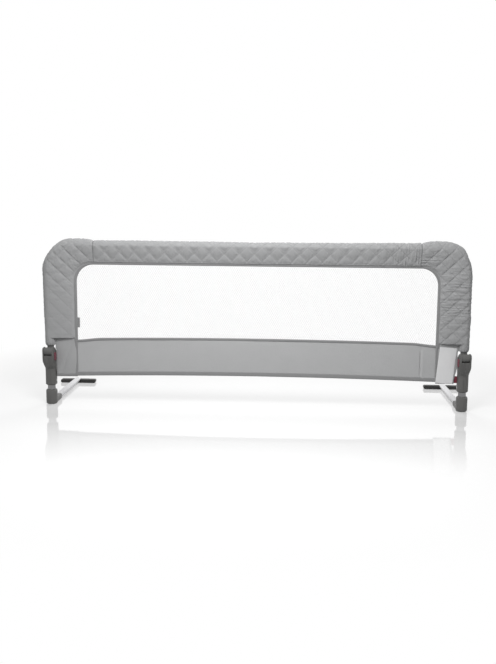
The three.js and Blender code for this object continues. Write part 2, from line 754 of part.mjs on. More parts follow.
// Where the border ends beside each station: a parallel route round the window's corner
function windowEdgeAt(station) {
  const x = windowSide + borderGap;
  const z = windowTop + borderGap;
  const corner = windowCorner + borderGap;
  const [centreX, centreZ] = [x - corner, z - corner];
  if (station.up === 0) {
    const share = (station.z - borderFoot) / (bendStart - borderFoot);
    return { x, z: lerp(borderFoot, centreZ, Math.max(share, 0)) };
  }
  if (station.out > 1e-9) return { x: centreX + corner * station.out, z: centreZ + corner * station.up };
  const share = (station.x + bendRadius) / (bendRadius - seamInset);
  return { x: lerp(centreX, -seamInset, share), z };
}

function coverCorner() {
  const rows = (length) => Math.round(2 * length / quiltPitch);
  const bend = roundBend(bendSteps);
  const stations = [...straightUp(borderFoot, bendStart, rows(bendStart - borderFoot)), ...bend.slice(1),
    ...straightAcross(-bendRadius, -seamInset, rows(seamInset - bendRadius)).slice(1)];
  const sleeve = straightUp(sleeveEnd, borderFoot - clearance, 1);
  const sleeveRings = sleeve.map((station, i) => circleAt(station,
    sleeveRadius - sleeveGather * (2 - i), boreAngles));
  const borderRings = stations.map((station, i) => borderRing(station, windowEdgeAt(station), i));
  const bore = [sleeve[0], ...bend, stations[stations.length - 1]];
  return shell([...sleeveRings, ...borderRings], bore.map(boreRing));
}

function coverTop() {
  const half = legHalf - seamInset - clearance;
  const stations = straightAcross(-half, half, 4 * Math.round(half / quiltPitch));
  const edge = (station) => ({ x: station.x, z: windowTop + borderGap });
  const outer = stations.map((station, i) => borderRing(station, edge(station), i));
  return shell(outer, [stations[0], stations[stations.length - 1]].map(boreRing));
}

// Piping round the window: a cord sewn along the border's edge, in four lengths

function piping(points) {
  const rings = points.map((p, i) => {
    const before = points[Math.max(i - 1, 0)];
    const after = points[Math.min(i + 1, points.length - 1)];
    const along = new THREE.Vector2().subVectors(after, before).normalize();
    return evenAngles(pipeSides).map((angle) => {
      const reach = pipingRadius * Math.cos(angle);
      return new THREE.Vector3(p.x - along.y * reach, pipingRadius * Math.sin(angle), p.y + along.x * reach);
    });
  });
  return loft(rings);
}

const cornerCentre = { x: windowHalf - windowCorner, z: windowTop - windowCorner };

function sidePiping(sign) {
  const from = sign > 0 ? 0 : Math.PI;
  const path = new THREE.Path();
  path.moveTo(sign * windowHalf, borderFoot);
  path.lineTo(sign * windowHalf, cornerCentre.z);
  path.absarc(sign * cornerCentre.x, cornerCentre.z, windowCorner, from, Math.PI / 2, sign < 0);
  return piping(path.getPoints(arcSegments));
}

function topPiping() {
  const end = cornerCentre.x - clearance;
  return piping([new THREE.Vector2(-end, windowTop), new THREE.Vector2(end, windowTop)]);
}

// The arched line between the window and the lower panel, which drops off at both ends
function archHeight(x) {
  const shoulder = windowHalf - archInset;
  const past = Math.abs(x) - shoulder;
  if (past > 0) return lerp(archShoulder, archEnd, (past / archInset) ** 2);
  return lerp(archCrown, archShoulder, (x / shoulder) ** 2);
}

// Points of that line from -end to end, raised or lowered
function archLine(end, rise) {
  const shoulder = windowHalf - archInset;
  const drop = shares(bendSteps).map((t) => lerp(end, shoulder, t));
  const crown = shares(smallSides).map((t) => lerp(-shoulder, shoulder, t)).slice(1, -1);
  return [...drop.map((x) => -x), ...crown, ...drop.reverse()]
    .map((x) => new THREE.Vector2(x, archHeight(x) + rise));
}

const archPiping = () => piping(archLine(windowHalf - 2 * clearance, 0));

// Window net, tucked between the pipings

// The window's outline, drawn in by an inset
function netShape(inset) {
  const gap = pipingRadius + clearance + inset;
  const corner = windowCorner - gap;
  const shape = new THREE.Shape(archLine(windowHalf - gap, gap + clearance));
  shape.absarc(cornerCentre.x, cornerCentre.z, corner, 0, Math.PI / 2, false);
  shape.absarc(-cornerCentre.x, cornerCentre.z, corner, Math.PI / 2, Math.PI, false);
  shape.closePath();
  return shape;
}

// The net is open: cords cross it in a grid, and a margin runs round under the piping
function windowNet() {
  const [columns, rows] = netOpenings;
  const pitchX = 2 * windowHalf / columns;
  const pitchZ = (windowTop - archEnd) / rows;
  const depth = netThickness / 2 + overrun;
  const cells = [];
  for (let column = 0; column < columns; column += 1) {
    for (let row = 0; row < rows; row += 1) {
      const [x, z] = [column * pitchX - windowHalf, archEnd + row * pitchZ];
      cells.push(box(x + netCord / 2, x + pitchX - netCord / 2, -depth, depth, z + netCord / 2,
        z + pitchZ - netCord / 2));
    }
  }
  const openings = common(slabAlongY(netShape(netCord), -depth, depth), join(...cells));
  return cut(slabAlongY(netShape(0), -netThickness / 2, netThickness / 2), openings);
}

// Lower panel: its upper strip swings with the frame, its skirt stays with the legs

const foldTop = pivotHeight + foldGap / 2;
const foldBottom = pivotHeight - foldGap / 2;
const panelHalf = windowHalf - clearance;
const flapStart = windowHalf + clearance;

// Free edge of an end flap, which slants in towards the hem
function flapEnd(z) {
  const share = (z - flapHem) / (borderFoot - flapHem);
  return legHalf - lerp(flapEdgeFoot, flapEdgeTop, share);
}

function panelStrip() {
  const arch = archLine(panelHalf, -pipingRadius - 2 * clearance).reverse();
  const shape = new THREE.Shape([new THREE.Vector2(-panelHalf, foldTop),
    new THREE.Vector2(panelHalf, foldTop), ...arch]);
  return slabAlongY(shape, -panelThickness / 2, panelThickness / 2);
}

const hemPoints = (rise) => shares(smallSides).map((t) => {
  const x = lerp(-panelHalf, panelHalf, t);
  return [x, lerp(hemCrown, hemEnd, (x / panelHalf) ** 2) + rise];
});

function skirtPanel() {
  const outline = [...hemPoints(hemBand + clearance), [panelHalf, foldBottom], [-panelHalf, foldBottom]];
  return slabAlongY(polygon(outline), -panelThickness / 2, panelThickness / 2);
}

function hemBinding() {
  return slabAlongY(polygon([...hemPoints(0), ...hemPoints(hemBand).reverse()]), -hemThickness / 2,
    hemThickness / 2);
}

// A flap beside the panel, from its seam to its free edge, in leg-centred coordinates
function endFlap(z0, z1) {
  const shape = polygon([[flapStart - legHalf, z0], [flapEnd(z0) - legHalf, z0],
    [flapEnd(z1) - legHalf, z1], [flapStart - legHalf, z1]]);
  return slabAlongY(shape, -panelThickness / 2, panelThickness / 2);
}

// The blank label on the right flap, slanting with the flap's edge, cut at the fold
function labelPiece(z0, z1) {
  const [right0, right1] = [flapEnd(z0) - labelInset, flapEnd(z1) - labelInset];
  const shape = polygon([[right0 - labelWidth, z0], [right0, z0], [right1, z1],
    [right1 - labelWidth, z1]]);
  const back = -panelThickness / 2 - clearance;
  return slabAlongY(shape, back - labelThickness, back);
}

// A corner strap runs from behind the flap into a slot in the inner half of the casing
function cornerStrap() {
  return box(-flapEdgeFoot - strapOverlap, strapMouth + strapInsert, strapFront, strapFront + strapThickness,
    strapRise, strapRise + strapWidth);
}

function loopTab() {
  const start = -windowHalf + pipingRadius + clearance;
  const front = netThickness / 2 + clearance;
  return box(start, start + tabReach, front, front + tabThickness, tabHeight, tabHeight + tabLength);
}

// Assembly

function piece(name, geometry, material) {
  const mesh = new THREE.Mesh(geometry, material);
  mesh.name = name;
  return mesh;
}

// All pieces of one side, in leg-centred coordinates for the right hand
function sidePieces() {
  const halves = casingHalves();
  return [
    ['hinge_casing_outer', halves.outer, casingPlastic],
    ['hinge_casing_inner', halves.inner, casingPlastic],
    ['pivot_pin', pivotPin(), fastenerSteel],
    ['knuckle', knuckle(), casingPlastic],
    ['frame_rivet', frameRivet(), fastenerSteel],
    ['release_button', releaseButton(), redPlastic],
    ['lock_pin', lockPin(), fastenerSteel],
    ['button_spring', buttonSpring(), fastenerSteel],
    ...screws.map((screw) => [screw.name, casingScrew(screw), fastenerSteel]),
    ['leg_tube', legTube(), frameSteel],
    ['foot_elbow', footElbow(), casingPlastic],
    ['arm_tube', armTube(), armSteel],
    ['foot_bar', footBar(), barPlastic],
    ['foot_bar_rivet', barRivet(), fastenerSteel],
    ['corner_tube', cornerTube(), frameSteel],
    ['snap_pin', snapPin(), fastenerSteel],
    ['cover_corner', coverCorner(), quiltCloth],
    ['flap_strip', endFlap(foldTop, borderFoot - 2 * clearance), panelCloth],
    ['skirt_flap', endFlap(flapHem, foldBottom), panelCloth],
    ['corner_strap', cornerStrap(), redWebbing],
  ];
}

function middlePieces() {
  const labelBottom = flapHem + labelFoot;
  return [
    piece('top_tube', topTube(), frameSteel),
    piece('cover_top', coverTop(), quiltCloth),
    piece('piping_top', topPiping(), trimCloth),
    piece('piping_left', sidePiping(-1), trimCloth),
    piece('piping_right', sidePiping(1), trimCloth),
    piece('piping_arch', archPiping(), trimCloth),
    piece('window_net', windowNet(), netCloth),
    piece('panel_strip', panelStrip(), panelCloth),
    piece('skirt_panel', skirtPanel(), panelCloth),
    piece('hem_binding', hemBinding(), trimCloth),
    piece('label_upper', labelPiece(foldTop, borderFoot - labelDrop), labelCloth),
    piece('label_lower', labelPiece(labelBottom, foldBottom), labelCloth),
    piece('loop_tab', loopTab(), trimCloth),
  ];
}

const guardRail = new THREE.Group();
const rightSide = new THREE.Group();
const leftSide = new THREE.Group();
for (const [name, geometry, material] of sidePieces()) {
  rightSide.add(piece(`${name}_right`, geometry, material));
  leftSide.add(piece(`${name}_left`, mirrored(geometry), material));
}
rightSide.position.x = legHalf;
leftSide.position.x = -legHalf;
guardRail.add(rightSide, leftSide, ...middlePieces());

// The origin is under the middle of the rail's bounding box, on the floor
const noseReach = pivotForward + cheekRadius;
guardRail.position.y = (noseReach - armReach) / 2;

export default guardRail;
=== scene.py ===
"""Looks of the folding bed guard rail: quilted border, mesh window, cloth panel, hinges and legs."""

import math

import bmesh
import bpy
import numpy as np
from mathutils import Matrix, Vector


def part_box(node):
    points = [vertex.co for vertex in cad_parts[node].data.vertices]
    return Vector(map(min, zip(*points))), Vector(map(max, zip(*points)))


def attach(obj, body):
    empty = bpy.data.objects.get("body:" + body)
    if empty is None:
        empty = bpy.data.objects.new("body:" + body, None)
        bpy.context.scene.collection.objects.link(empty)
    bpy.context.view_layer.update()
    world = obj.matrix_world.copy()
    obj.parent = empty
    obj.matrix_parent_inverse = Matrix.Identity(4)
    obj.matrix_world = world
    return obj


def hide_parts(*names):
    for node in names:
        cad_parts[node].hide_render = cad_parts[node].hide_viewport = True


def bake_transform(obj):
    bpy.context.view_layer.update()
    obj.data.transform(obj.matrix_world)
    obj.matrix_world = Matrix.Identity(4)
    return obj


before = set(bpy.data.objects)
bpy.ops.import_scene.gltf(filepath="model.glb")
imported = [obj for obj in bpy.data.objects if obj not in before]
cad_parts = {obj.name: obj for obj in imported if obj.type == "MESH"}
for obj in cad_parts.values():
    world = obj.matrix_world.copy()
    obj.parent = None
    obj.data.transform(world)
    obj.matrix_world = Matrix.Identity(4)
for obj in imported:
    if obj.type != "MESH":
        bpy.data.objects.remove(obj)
scene = bpy.context.scene
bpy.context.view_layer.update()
mm = 0.001
sides = {"right": 1, "left": -1}


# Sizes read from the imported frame

tube_low, tube_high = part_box("corner_tube_right")
tube_radius = (tube_high.y - tube_low.y) / 2
cloth_y = (tube_high.y + tube_low.y) / 2
rail_x = tube_high.x - tube_radius
rail_z = tube_high.z - tube_radius
sleeve_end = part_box("cover_corner_right")[0].z
piping_low, piping_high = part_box("piping_right")
piping_radius = (piping_high.y - piping_low.y) / 2
window_half = piping_high.x - piping_radius
top_low, top_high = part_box("piping_top")
window_top = (top_low.z + top_high.z) / 2
arch_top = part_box("piping_arch")[1].z
hem_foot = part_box("hem_binding")[0].z
flap_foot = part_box("skirt_flap_right")[0].z

# Sizes of the cloth itself
sleeve_radius = 15 * mm  # wadding and cloth round the tube
bend_radius = 62 * mm  # the tube's upper corners, on its centre line
seam_x = 457 * mm  # seams between the border's top and its two corners
window_corner = 50 * mm
corner_x, corner_z = window_half - window_corner, window_top - window_corner
border_foot = 193 * mm  # height of the border's lower edge beside the window
edge_gap = 2.5 * mm  # from the window's line to the border's edge
crest = sleeve_radius * math.pi / 2  # from the tube's middle line to the outermost line, over the cloth
top_pitch, corner_pitch = 42 * mm, 39 * mm  # length of a quilted diamond in the top and in the corners
top_shift = 4 * mm  # how far the top's diamonds start beside the middle
detail = 1  # how much coarser the grids are


# Small mathematics

def lattice(ix, iy, seed):
    """A repeatable number from 0 to 1 for each whole place."""
    value = np.sin(ix * 127.1 + iy * 311.7 + seed * 74.7) * 43758.5453
    return value - np.floor(value)


def noise(x, y, seed):
    """Smooth repeatable noise from -1 to 1 on a unit lattice."""
    x, y = np.broadcast_arrays(x, y)
    ix, iy = np.floor(x), np.floor(y)
    fx, fy = x - ix, y - iy
    fx, fy = fx * fx * (3 - 2 * fx), fy * fy * (3 - 2 * fy)
    low = lattice(ix, iy, seed) * (1 - fx) + lattice(ix + 1, iy, seed) * fx
    high = lattice(ix, iy + 1, seed) * (1 - fx) + lattice(ix + 1, iy + 1, seed) * fx
    return 2 * (low * (1 - fy) + high * fy) - 1


def smooth(x, low, high):
    t = np.clip((x - low) / (high - low), 0, 1)
    return t * t * (3 - 2 * t)


def bump_at(x, centre, width):
    return np.exp(-((x - centre) / width) ** 2)


# Mesh helpers

def grid_quads(rows, columns, ring=False):
    r = np.arange(rows - 1)[:, None]
    c = np.arange(columns if ring else columns - 1)[None, :]
    n = (c + 1) % columns
    quads = [r * columns + c, r * columns + n, (r + 1) * columns + n, (r + 1) * columns + c]
    return np.stack(quads, -1).reshape(-1, 4).tolist()


def cleaned(mesh, merged=False):
    """Turns all faces outwards. merged also joins doubled points and flat faces."""
    bm = bmesh.new()
    bm.from_mesh(mesh)
    if merged:
        bmesh.ops.remove_doubles(bm, verts=bm.verts, dist=0.002 * mm)
        bmesh.ops.dissolve_limit(bm, angle_limit=math.radians(0.6), verts=bm.verts, edges=bm.edges)
    bmesh.ops.recalc_face_normals(bm, faces=bm.faces)
    bm.to_mesh(mesh)
    bm.free()


def added(name, data):
    obj = bpy.data.objects.new(name, data)
    scene.collection.objects.link(obj)
    return obj


def make(name, points, faces, material, flat, sharp=40):
    """A smooth-shaded mesh object. flat gives each point's place on the uncut cloth."""
    mesh = bpy.data.meshes.new(name)
    mesh.from_pydata(np.asarray(points, float).reshape(-1, 3).tolist(), [], faces)
    uv = mesh.uv_layers.new(name="flat")
    corners = np.zeros(len(mesh.loops), np.int32)
    mesh.loops.foreach_get("vertex_index", corners)
    uv.data.foreach_set("uv", np.asarray(flat, np.float32).reshape(-1, 2)[corners].ravel())
    cleaned(mesh)
    mesh.shade_smooth()
    mesh.set_sharp_from_angle(angle=math.radians(sharp))
    mesh.materials.append(material)
    return added(name, mesh)


def bake(obj):
    """Turns the object's modifiers into plain mesh."""
    bpy.context.view_layer.update()
    shown = obj.evaluated_get(bpy.context.evaluated_depsgraph_get())
    obj.data = bpy.data.meshes.new_from_object(shown)
    obj.modifiers.clear()


def ring_tube(name, rings, material, flat):
    """A skin over rings (rows, columns, 3), closed at both ends."""
    rows, columns = rings.shape[:2]
    faces = grid_quads(rows, columns, ring=True)
    faces += [list(range(columns)), list(range((rows - 1) * columns, rows * columns))]
    return make(name, rings, faces, material, flat)


def distances(path):
    """How far along a path each of its points lies."""
    return np.concatenate([[0], np.cumsum(np.linalg.norm(np.diff(path, axis=0), axis=1))])


def left_normals(path):
    step = np.gradient(path, axis=0)
    tangent = step / np.linalg.norm(step, axis=1)[:, None]
    return np.stack([-tangent[:, 1], tangent[:, 0]], 1)


def ribbon(name, path, section, material, lift=None, outer=1.0):
    """Sweeps a section of (across, y) points along a path of (x, z) points, with flat coordinates.

    lift moves each station along y, and outer narrows the half on the path's right.
    """
    aside, forward = np.asarray(section).T[:, None, :]
    share = np.broadcast_to(outer, len(path))[:, None]
    across = np.where(aside < 0, aside * share, aside)[:, :, None]
    rings = np.zeros((len(path), len(section), 3))
    rings[:, :, [0, 2]] = path[:, None, :] + across * left_normals(path)[:, None, :]
    rings[:, :, 1] = cloth_y + forward
    if lift is not None:
        rings[:, :, 1] += lift[:, None]
    flat = np.stack(np.broadcast_arrays(distances(path)[:, None], aside), -1)
    return ring_tube(name, rings, material, flat)


def rounded_section(half_width, half_thickness, middle_at=0.0, points=18, squareness=3.0):
    """A flat band's outline: nearly straight faces with rounded edges."""
    angle = np.arange(points) * 2 * math.pi / points
    c, s = np.cos(angle), np.sin(angle)
    power = 2 / squareness
    return np.stack([middle_at + half_width * np.sign(c) * np.abs(c) ** power,
                     half_thickness * np.sign(s) * np.abs(s) ** power], 1)


def slab(name, surface, thickness, material, flat=None):
    """A closed sheet of cloth from a surface of (rows, columns, 3) points, thin at its edges."""
    if flat is None:
        flat = surface[:, :, [0, 2]]
    rows, columns = surface.shape[:2]
    du, dv = np.gradient(surface, axis=0), np.gradient(surface, axis=1)
    normal = np.cross(dv, du)
    normal /= np.linalg.norm(normal, axis=2)[:, :, None]
    rim_share = 0.4
    half = np.full((rows, columns), thickness / 2)
    half[[0, -1], :] *= rim_share
    half[:, [0, -1]] *= rim_share
    front = surface + normal * half[:, :, None]
    back = surface - normal * half[:, :, None]
    count = rows * columns
    quads = grid_quads(rows, columns)
    faces = quads + [[i + count for i in reversed(q)] for q in quads]
    index = np.arange(count).reshape(rows, columns)
    rim = np.concatenate([index[0, :], index[1:, -1], index[-1, -2::-1], index[-2:0:-1, 0]]).tolist()
    for a, b in zip(rim, rim[1:] + rim[:1]):
        faces.append([b, a, a + count, b + count])
    points = np.concatenate([front.reshape(-1, 3), back.reshape(-1, 3)])
    both = np.concatenate([flat.reshape(-1, 2), flat.reshape(-1, 2)])
    return make(name, points, faces, material, both)


# Materials

class Shader:
    """A Principled material with short helpers for its nodes."""

    def __init__(self, name, colour, roughness, metallic=0.0, sheen=0.0):
        self.material = bpy.data.materials.new(name)
        self.material.use_nodes = True
        self.tree = self.material.node_tree
        self.surface = self.tree.nodes["Principled BSDF"]
        self.colour = colour
        self.set("Base Color", (*colour, 1))
        self.set("Roughness", roughness)
        self.set("Metallic", metallic)
        if sheen:
            self.set("Sheen Weight", sheen)
            self.set("Sheen Roughness", 0.5)

    def set(self, socket, value):
        self.surface.inputs[socket].default_value = value

    def node(self, kind, **settings):
        made = self.tree.nodes.new("ShaderNode" + kind)
        for key, value in settings.items():
            setattr(made, key, value)
        return made

    def link(self, out, into):
        if hasattr(out, "links"):
            self.tree.links.new(out, into)
        else:
            into.default_value = out

    def calc(self, operation, *values):
        made = self.node("Math", operation=operation)
        for value, socket in zip(values, made.inputs):
            self.link(value, socket)
        return made.outputs[0]

    def place(self, flat):
        if flat:
            return self.node("UVMap", uv_map="flat").outputs[0]
        return self.node("TexCoord").outputs["Object"]

    def noise(self, place, scale, detail=2.0, stretch=(1, 1, 1)):
        mapping = self.node("Mapping")
        mapping.inputs["Scale"].default_value = stretch
        self.link(place, mapping.inputs["Vector"])
        made = self.node("TexNoise")
        made.inputs["Scale"].default_value = scale
        made.inputs["Detail"].default_value = detail
        self.link(mapping.outputs[0], made.inputs["Vector"])
        return made.outputs["Fac"]

    def tint(self, factor, darker, lighter):
        """Base colour between two brightnesses of the material's own colour."""
        mix = self.node("Mix", data_type="RGBA")
        self.link(factor, mix.inputs["Factor"])
        mix.inputs["A"].default_value = (*[c * darker for c in self.colour], 1)
        mix.inputs["B"].default_value = (*[min(c * lighter, 1) for c in self.colour], 1)
        self.link(mix.outputs["Result"], self.surface.inputs["Base Color"])

    def shade(self, factor):
        """Multiplies the base colour by a factor."""
        source = self.surface.inputs["Base Color"].links[0].from_socket
        mix = self.node("Mix", data_type="RGBA", blend_type="MULTIPLY")
        mix.inputs["Factor"].default_value = 1.0
        self.link(source, mix.inputs["A"])
        self.link(factor, mix.inputs["B"])
        self.link(mix.outputs["Result"], self.surface.inputs["Base Color"])

    def relief(self, height, depth, into=None):
        bump = self.node("Bump")
        bump.inputs["Distance"].default_value = depth
        self.link(height, bump.inputs["Height"])
        self.link(bump.outputs[0], self.surface.inputs["Normal"] if into is None else into)

    def sink(self, height, depth):
        """Adds a second, larger relief below the one already there."""
        first = self.surface.inputs["Normal"].links[0].from_node
        self.relief(height, depth, first.inputs["Normal"])

    def ease(self, value, start, end, low, high, kind="SMOOTHSTEP"):
        """Runs from low at start to high at end."""
        made = self.node("MapRange", interpolation_type=kind)
        self.link(value, made.inputs["Value"])
        for name, number in (("From Min", start), ("From Max", end), ("To Min", low), ("To Max", high)):
            made.inputs[name].default_value = number
        return made.outputs[0]

    def spread(self, factor, low, high):
        return self.ease(factor, 0, 1, low, high, "LINEAR")

    def choose(self, flag, when_0, when_1):
        """One of two values, by a flag that is 0 or 1."""
        made = self.node("Mix", data_type="FLOAT")
        for value, slot in ((flag, 0), (when_0, 2), (when_1, 3)):
            self.link(value, made.inputs[slot])
        return made.outputs[0]

    def mixed(self, share, first, second):
        """Two surfaces in one: share is how much of the second there is."""
        made = self.node("MixShader")
        for value, slot in zip((share, first, second), made.inputs):
            self.link(value, slot)
        return made.outputs[0]


def cloth(name, colour, pitch, depth, mottle=0.06, sheen=0.15, twill=False):
    """Woven cloth: warp and weft threads in relief, with soft mottling. pitch is the thread spacing."""
    s = Shader(name, colour, 0.9, sheen=sheen)
    place = s.place(flat=True)
    split = s.node("SeparateXYZ")
    s.link(place, split.inputs[0])
    turn = 2 * math.pi / pitch
    cloud_scale, slub_scale, slub_stretch = 28, 420, (1, 0.25, 1)
    x, y = split.outputs[0], split.outputs[1]
    if twill:
        x = s.calc("ADD", x, y)
    warp = s.calc("SINE", s.calc("MULTIPLY", x, turn))
    weft = s.calc("SINE", s.calc("MULTIPLY", y, turn))
    weave = s.calc("MULTIPLY", warp, weft)
    cloudy = s.noise(place, cloud_scale, 3)
    slub = s.noise(place, slub_scale, 2, slub_stretch)
    shade = s.calc("ADD", s.calc("MULTIPLY", cloudy, 0.6), s.calc("MULTIPLY", slub, 0.4))
    s.tint(s.spread(shade, 0, 1), 1 - mottle, 1 + mottle)
    grain = s.calc("ADD", s.calc("MULTIPLY", weave, 0.5), s.calc("MULTIPLY", slub, 0.6))
    s.relief(grain, depth)
    return s


def moulded(name, colour, roughness):
    """Injection-moulded plastic: fine spark texture and faint cloudiness."""
    s = Shader(name, colour, roughness)
    place = s.place(flat=False)
    spark_scale, cloud_scale = 2600, 40
    fine = s.noise(place, spark_scale)
    cloudy = s.noise(place, cloud_scale)
    s.tint(cloudy, 0.93, 1.07)
    s.link(s.spread(cloudy, roughness - 0.05, roughness + 0.06), s.surface.inputs["Roughness"])
    s.relief(fine, 0.04 * mm)
    return s


def steel(name, colour, roughness, stretch=(1, 1, 0.1), metallic=1.0):
    """Zinc-plated or silver-painted steel: drawn grain and faint cloudiness."""
    s = Shader(name, colour, roughness, metallic=metallic)
    place = s.place(flat=False)
    grain_scale, cloud_scale, grain_depth = 900, 60, 0.02 * mm
    drawn = s.noise(place, grain_scale, 2, stretch)
    cloudy = s.noise(place, cloud_scale, 3)
    s.tint(cloudy, 0.9, 1.06)
    s.link(s.spread(drawn, roughness - 0.06, roughness + 0.1), s.surface.inputs["Roughness"])
    s.relief(drawn, grain_depth)
    return s


def quilting(s):
    """Paints shade into the stitch lines and the seam grooves and sinks them, on the lattice of
    stitch_lines(), fainter to the left.
    """
    line_core, line_edge = 0.3 * mm, 1.8 * mm
    seam_core, seam_edge, seam_weight = 0.4 * mm, 1.6 * mm, 1.2
    # the painted shade is weaker to the left, and weaker still low on the left
    left_strength, left_x, right_x = 0.35, -0.45, 0.35
    low_strength, low_z, high_z = 0.15, 0.29, 0.37
    line_shade, line_depth = 0.8, 0.5 * mm
    split = s.node("SeparateXYZ")
    s.link(s.place(flat=True), split.inputs[0])
    x, z = split.outputs[0], split.outputs[1]
    magnitude = s.calc("ABSOLUTE", x)
    corner = s.calc("GREATER_THAN", magnitude, seam_x)
    from_x = s.choose(corner, s.calc("ADD", x, top_shift), s.calc("SUBTRACT", magnitude, rail_x + crest))
    from_z = s.calc("SUBTRACT", z, rail_z + crest)
    half_gap = s.choose(corner, top_pitch / 8 ** 0.5, corner_pitch / 8 ** 0.5)
    lines = []
    for lean, weight in (("ADD", 0.8), ("SUBTRACT", 1.0)):
        across = s.calc("DIVIDE", s.calc(lean, from_x, from_z), 2 ** 0.5)
        distance = s.calc("PINGPONG", across, half_gap)
        lines.append(s.calc("MULTIPLY", s.ease(distance, line_core, line_edge, 1, 0), weight))
    stitched = s.calc("MAXIMUM", *lines)
    # patchy strength of the painted shade
    patchy_shade = s.spread(s.noise(s.place(flat=True), 9, 1), 0.1, 1.3)
    strength = s.calc("MULTIPLY", s.ease(x, left_x, right_x, left_strength, 1.0), patchy_shade)
    on_left = s.calc("LESS_THAN", x, -seam_x)
    faded = s.ease(z, low_z, high_z, low_strength, 1.0)
    strength = s.calc("MULTIPLY", strength, s.choose(on_left, 1.0, faded))
    stitched = s.calc("MULTIPLY", stitched, strength)
    # painted shade in the groove of the seams between the top and the corners
    from_seam = s.calc("ABSOLUTE", s.calc("SUBTRACT", magnitude, seam_x))
    stitched = s.calc("MAXIMUM", stitched, s.ease(from_seam, seam_core, seam_edge, seam_weight, 0.0))
    # the stitch lines get painted shade in the base colour, and a relief sinks them
    s.shade(s.spread(stitched, 1.0, line_shade))
    s.sink(s.calc("SUBTRACT", 1.0, stitched), line_depth)


quilt_cloth = cloth("quilted polyester", (0.285, 0.287, 0.29), 0.9 * mm, 0.00012)
panel_cloth = cloth("panel polyester", (0.372, 0.374, 0.377), 0.8 * mm, 0.0001)
# the flaps use the panel's cloth with painted shade: a darker copy of its colour
flap_painted_shade_cloth = cloth("flap polyester", (0.318, 0.32, 0.323), 0.8 * mm, 0.0001)
trim_cloth = cloth("binding tape", (0.218, 0.219, 0.221), 0.7 * mm, 0.00016, twill=True)
hem_cloth = cloth("hem tape", (0.222, 0.223, 0.225), 0.7 * mm, 0.00016, twill=True)
quilting(quilt_cloth)
net_cloth = cloth("net yarn", (0.74, 0.74, 0.75), 0.3 * mm, 0.00003)
label_cloth = cloth("label tape", (0.615, 0.615, 0.62), 0.5 * mm, 0.00005, mottle=0.03, sheen=0.05)
red_webbing = cloth("red webbing", (0.17, 0.030, 0.046), 1.3 * mm, 0.0003)
hard = {
    "casing_plastic": moulded("charcoal plastic", (0.088, 0.087, 0.084), 0.5),
    "bar_plastic": moulded("black plastic", (0.014, 0.0135, 0.013), 0.5),
    "red_plastic": moulded("red plastic", (0.135, 0.028, 0.042), 0.42),
    "frame_steel": steel("frame steel", (0.22, 0.22, 0.222), 0.4),
    "arm_steel": steel("painted arm steel", (0.66, 0.66, 0.67), 0.38, (1, 0.1, 1), metallic=0.3),
    "fastener_steel": steel("fastener steel", (0.45, 0.45, 0.45), 0.35),
}


# Camera: fitted to the photograph together with the object's sizes

def photo_camera():
    yaw, pitch, roll = -0.045572, 0.148495, 0.0089042  # radians
    aside, away, height = 0.087755, 2.3704, 0.57175
    lens = 46.08
    level = math.cos(pitch)
    forward = Vector((math.sin(yaw) * level, math.cos(yaw) * level, -math.sin(pitch)))
    level_right = Vector((math.cos(yaw), -math.sin(yaw), 0))
    level_up = level_right.cross(forward)
    right = math.cos(roll) * level_right + math.sin(roll) * level_up
    up = -math.sin(roll) * level_right + math.cos(roll) * level_up
    camera = added("camera", bpy.data.cameras.new("camera"))
    camera.data.lens = lens
    turned = Matrix((right, up, -forward)).transposed().to_4x4()
    camera.matrix_world = Matrix.Translation((aside, cloth_y - away, height)) @ turned
    scene.camera = camera


photo_camera()


# Quilted border

straight = rail_x - bend_radius
bend_top = rail_z - bend_radius
bend_length = bend_radius * math.pi / 2
half_length = straight + bend_length + bend_top - sleeve_end
foot_at = straight + bend_length + bend_top - border_foot  # below it there is only the sleeve

# How far the padding stands out of the plain outline, in mm, by the distance along the tube from the
# middle, as seen in the photo
stands_out_right = [(0, -1), (232, 0.4), (315, 1), (397, 2), (450, 2), (457, 1), (470, 5), (495, 8),
                    (523, 7), (540, 5.6), (558, 5.2), (568, 3.7), (587, -3), (610, -3), (640, -0.5),
                    (841, -0.5)]
stands_out_left = [(0, -1), (120, 0), (211, 0.6), (438, 0.8), (457, 0), (470, 4), (498, 6), (530, 5),
                   (558, -0.5), (579, -3), (600, -1), (620, 2.8), (700, 2.6), (780, 1.2), (841, 0)]


def outline_offset(route):
    def read(table):
        along, heights = np.array(table).T * mm
        return np.interp(np.abs(route), along, heights)
    raw = np.where(route > 0, read(stands_out_right), read(stands_out_left))
    softness = 7 * mm
    width = max(int(softness / abs(route[1] - route[0])), 1)
    kernel = np.hanning(2 * width + 3)
    padded_raw = np.pad(raw, width + 1, mode="edge")
    return np.convolve(padded_raw, kernel / kernel.sum(), mode="valid")


def stations(route):
    """Tube axis, outward direction and window edge at each distance along the tube."""
    s = np.abs(route)
    turn = np.clip((s - straight) / bend_radius, 0, math.pi / 2)
    down = np.maximum(s - straight - bend_length, 0)
    nx, nz = np.sin(turn), np.cos(turn)
    cx = np.minimum(s, straight) + bend_radius * nx
    cz = bend_top + bend_radius * nz - down
    corner = window_corner + edge_gap
    ex = np.where(turn > 0, corner_x + corner * nx,
                  np.interp(s, [0, seam_x, straight], [0, seam_x, corner_x]))
    ez = np.where(down > 0, np.interp(down, [0, bend_top - border_foot], [corner_z, border_foot]),
                  corner_z + corner * nz)
    side = np.where(route > 0, 1.0, -1.0)
    return np.stack([cx * side, cz], 1), np.stack([nx * side, nz], 1), np.stack([ex * side, ez], 1)


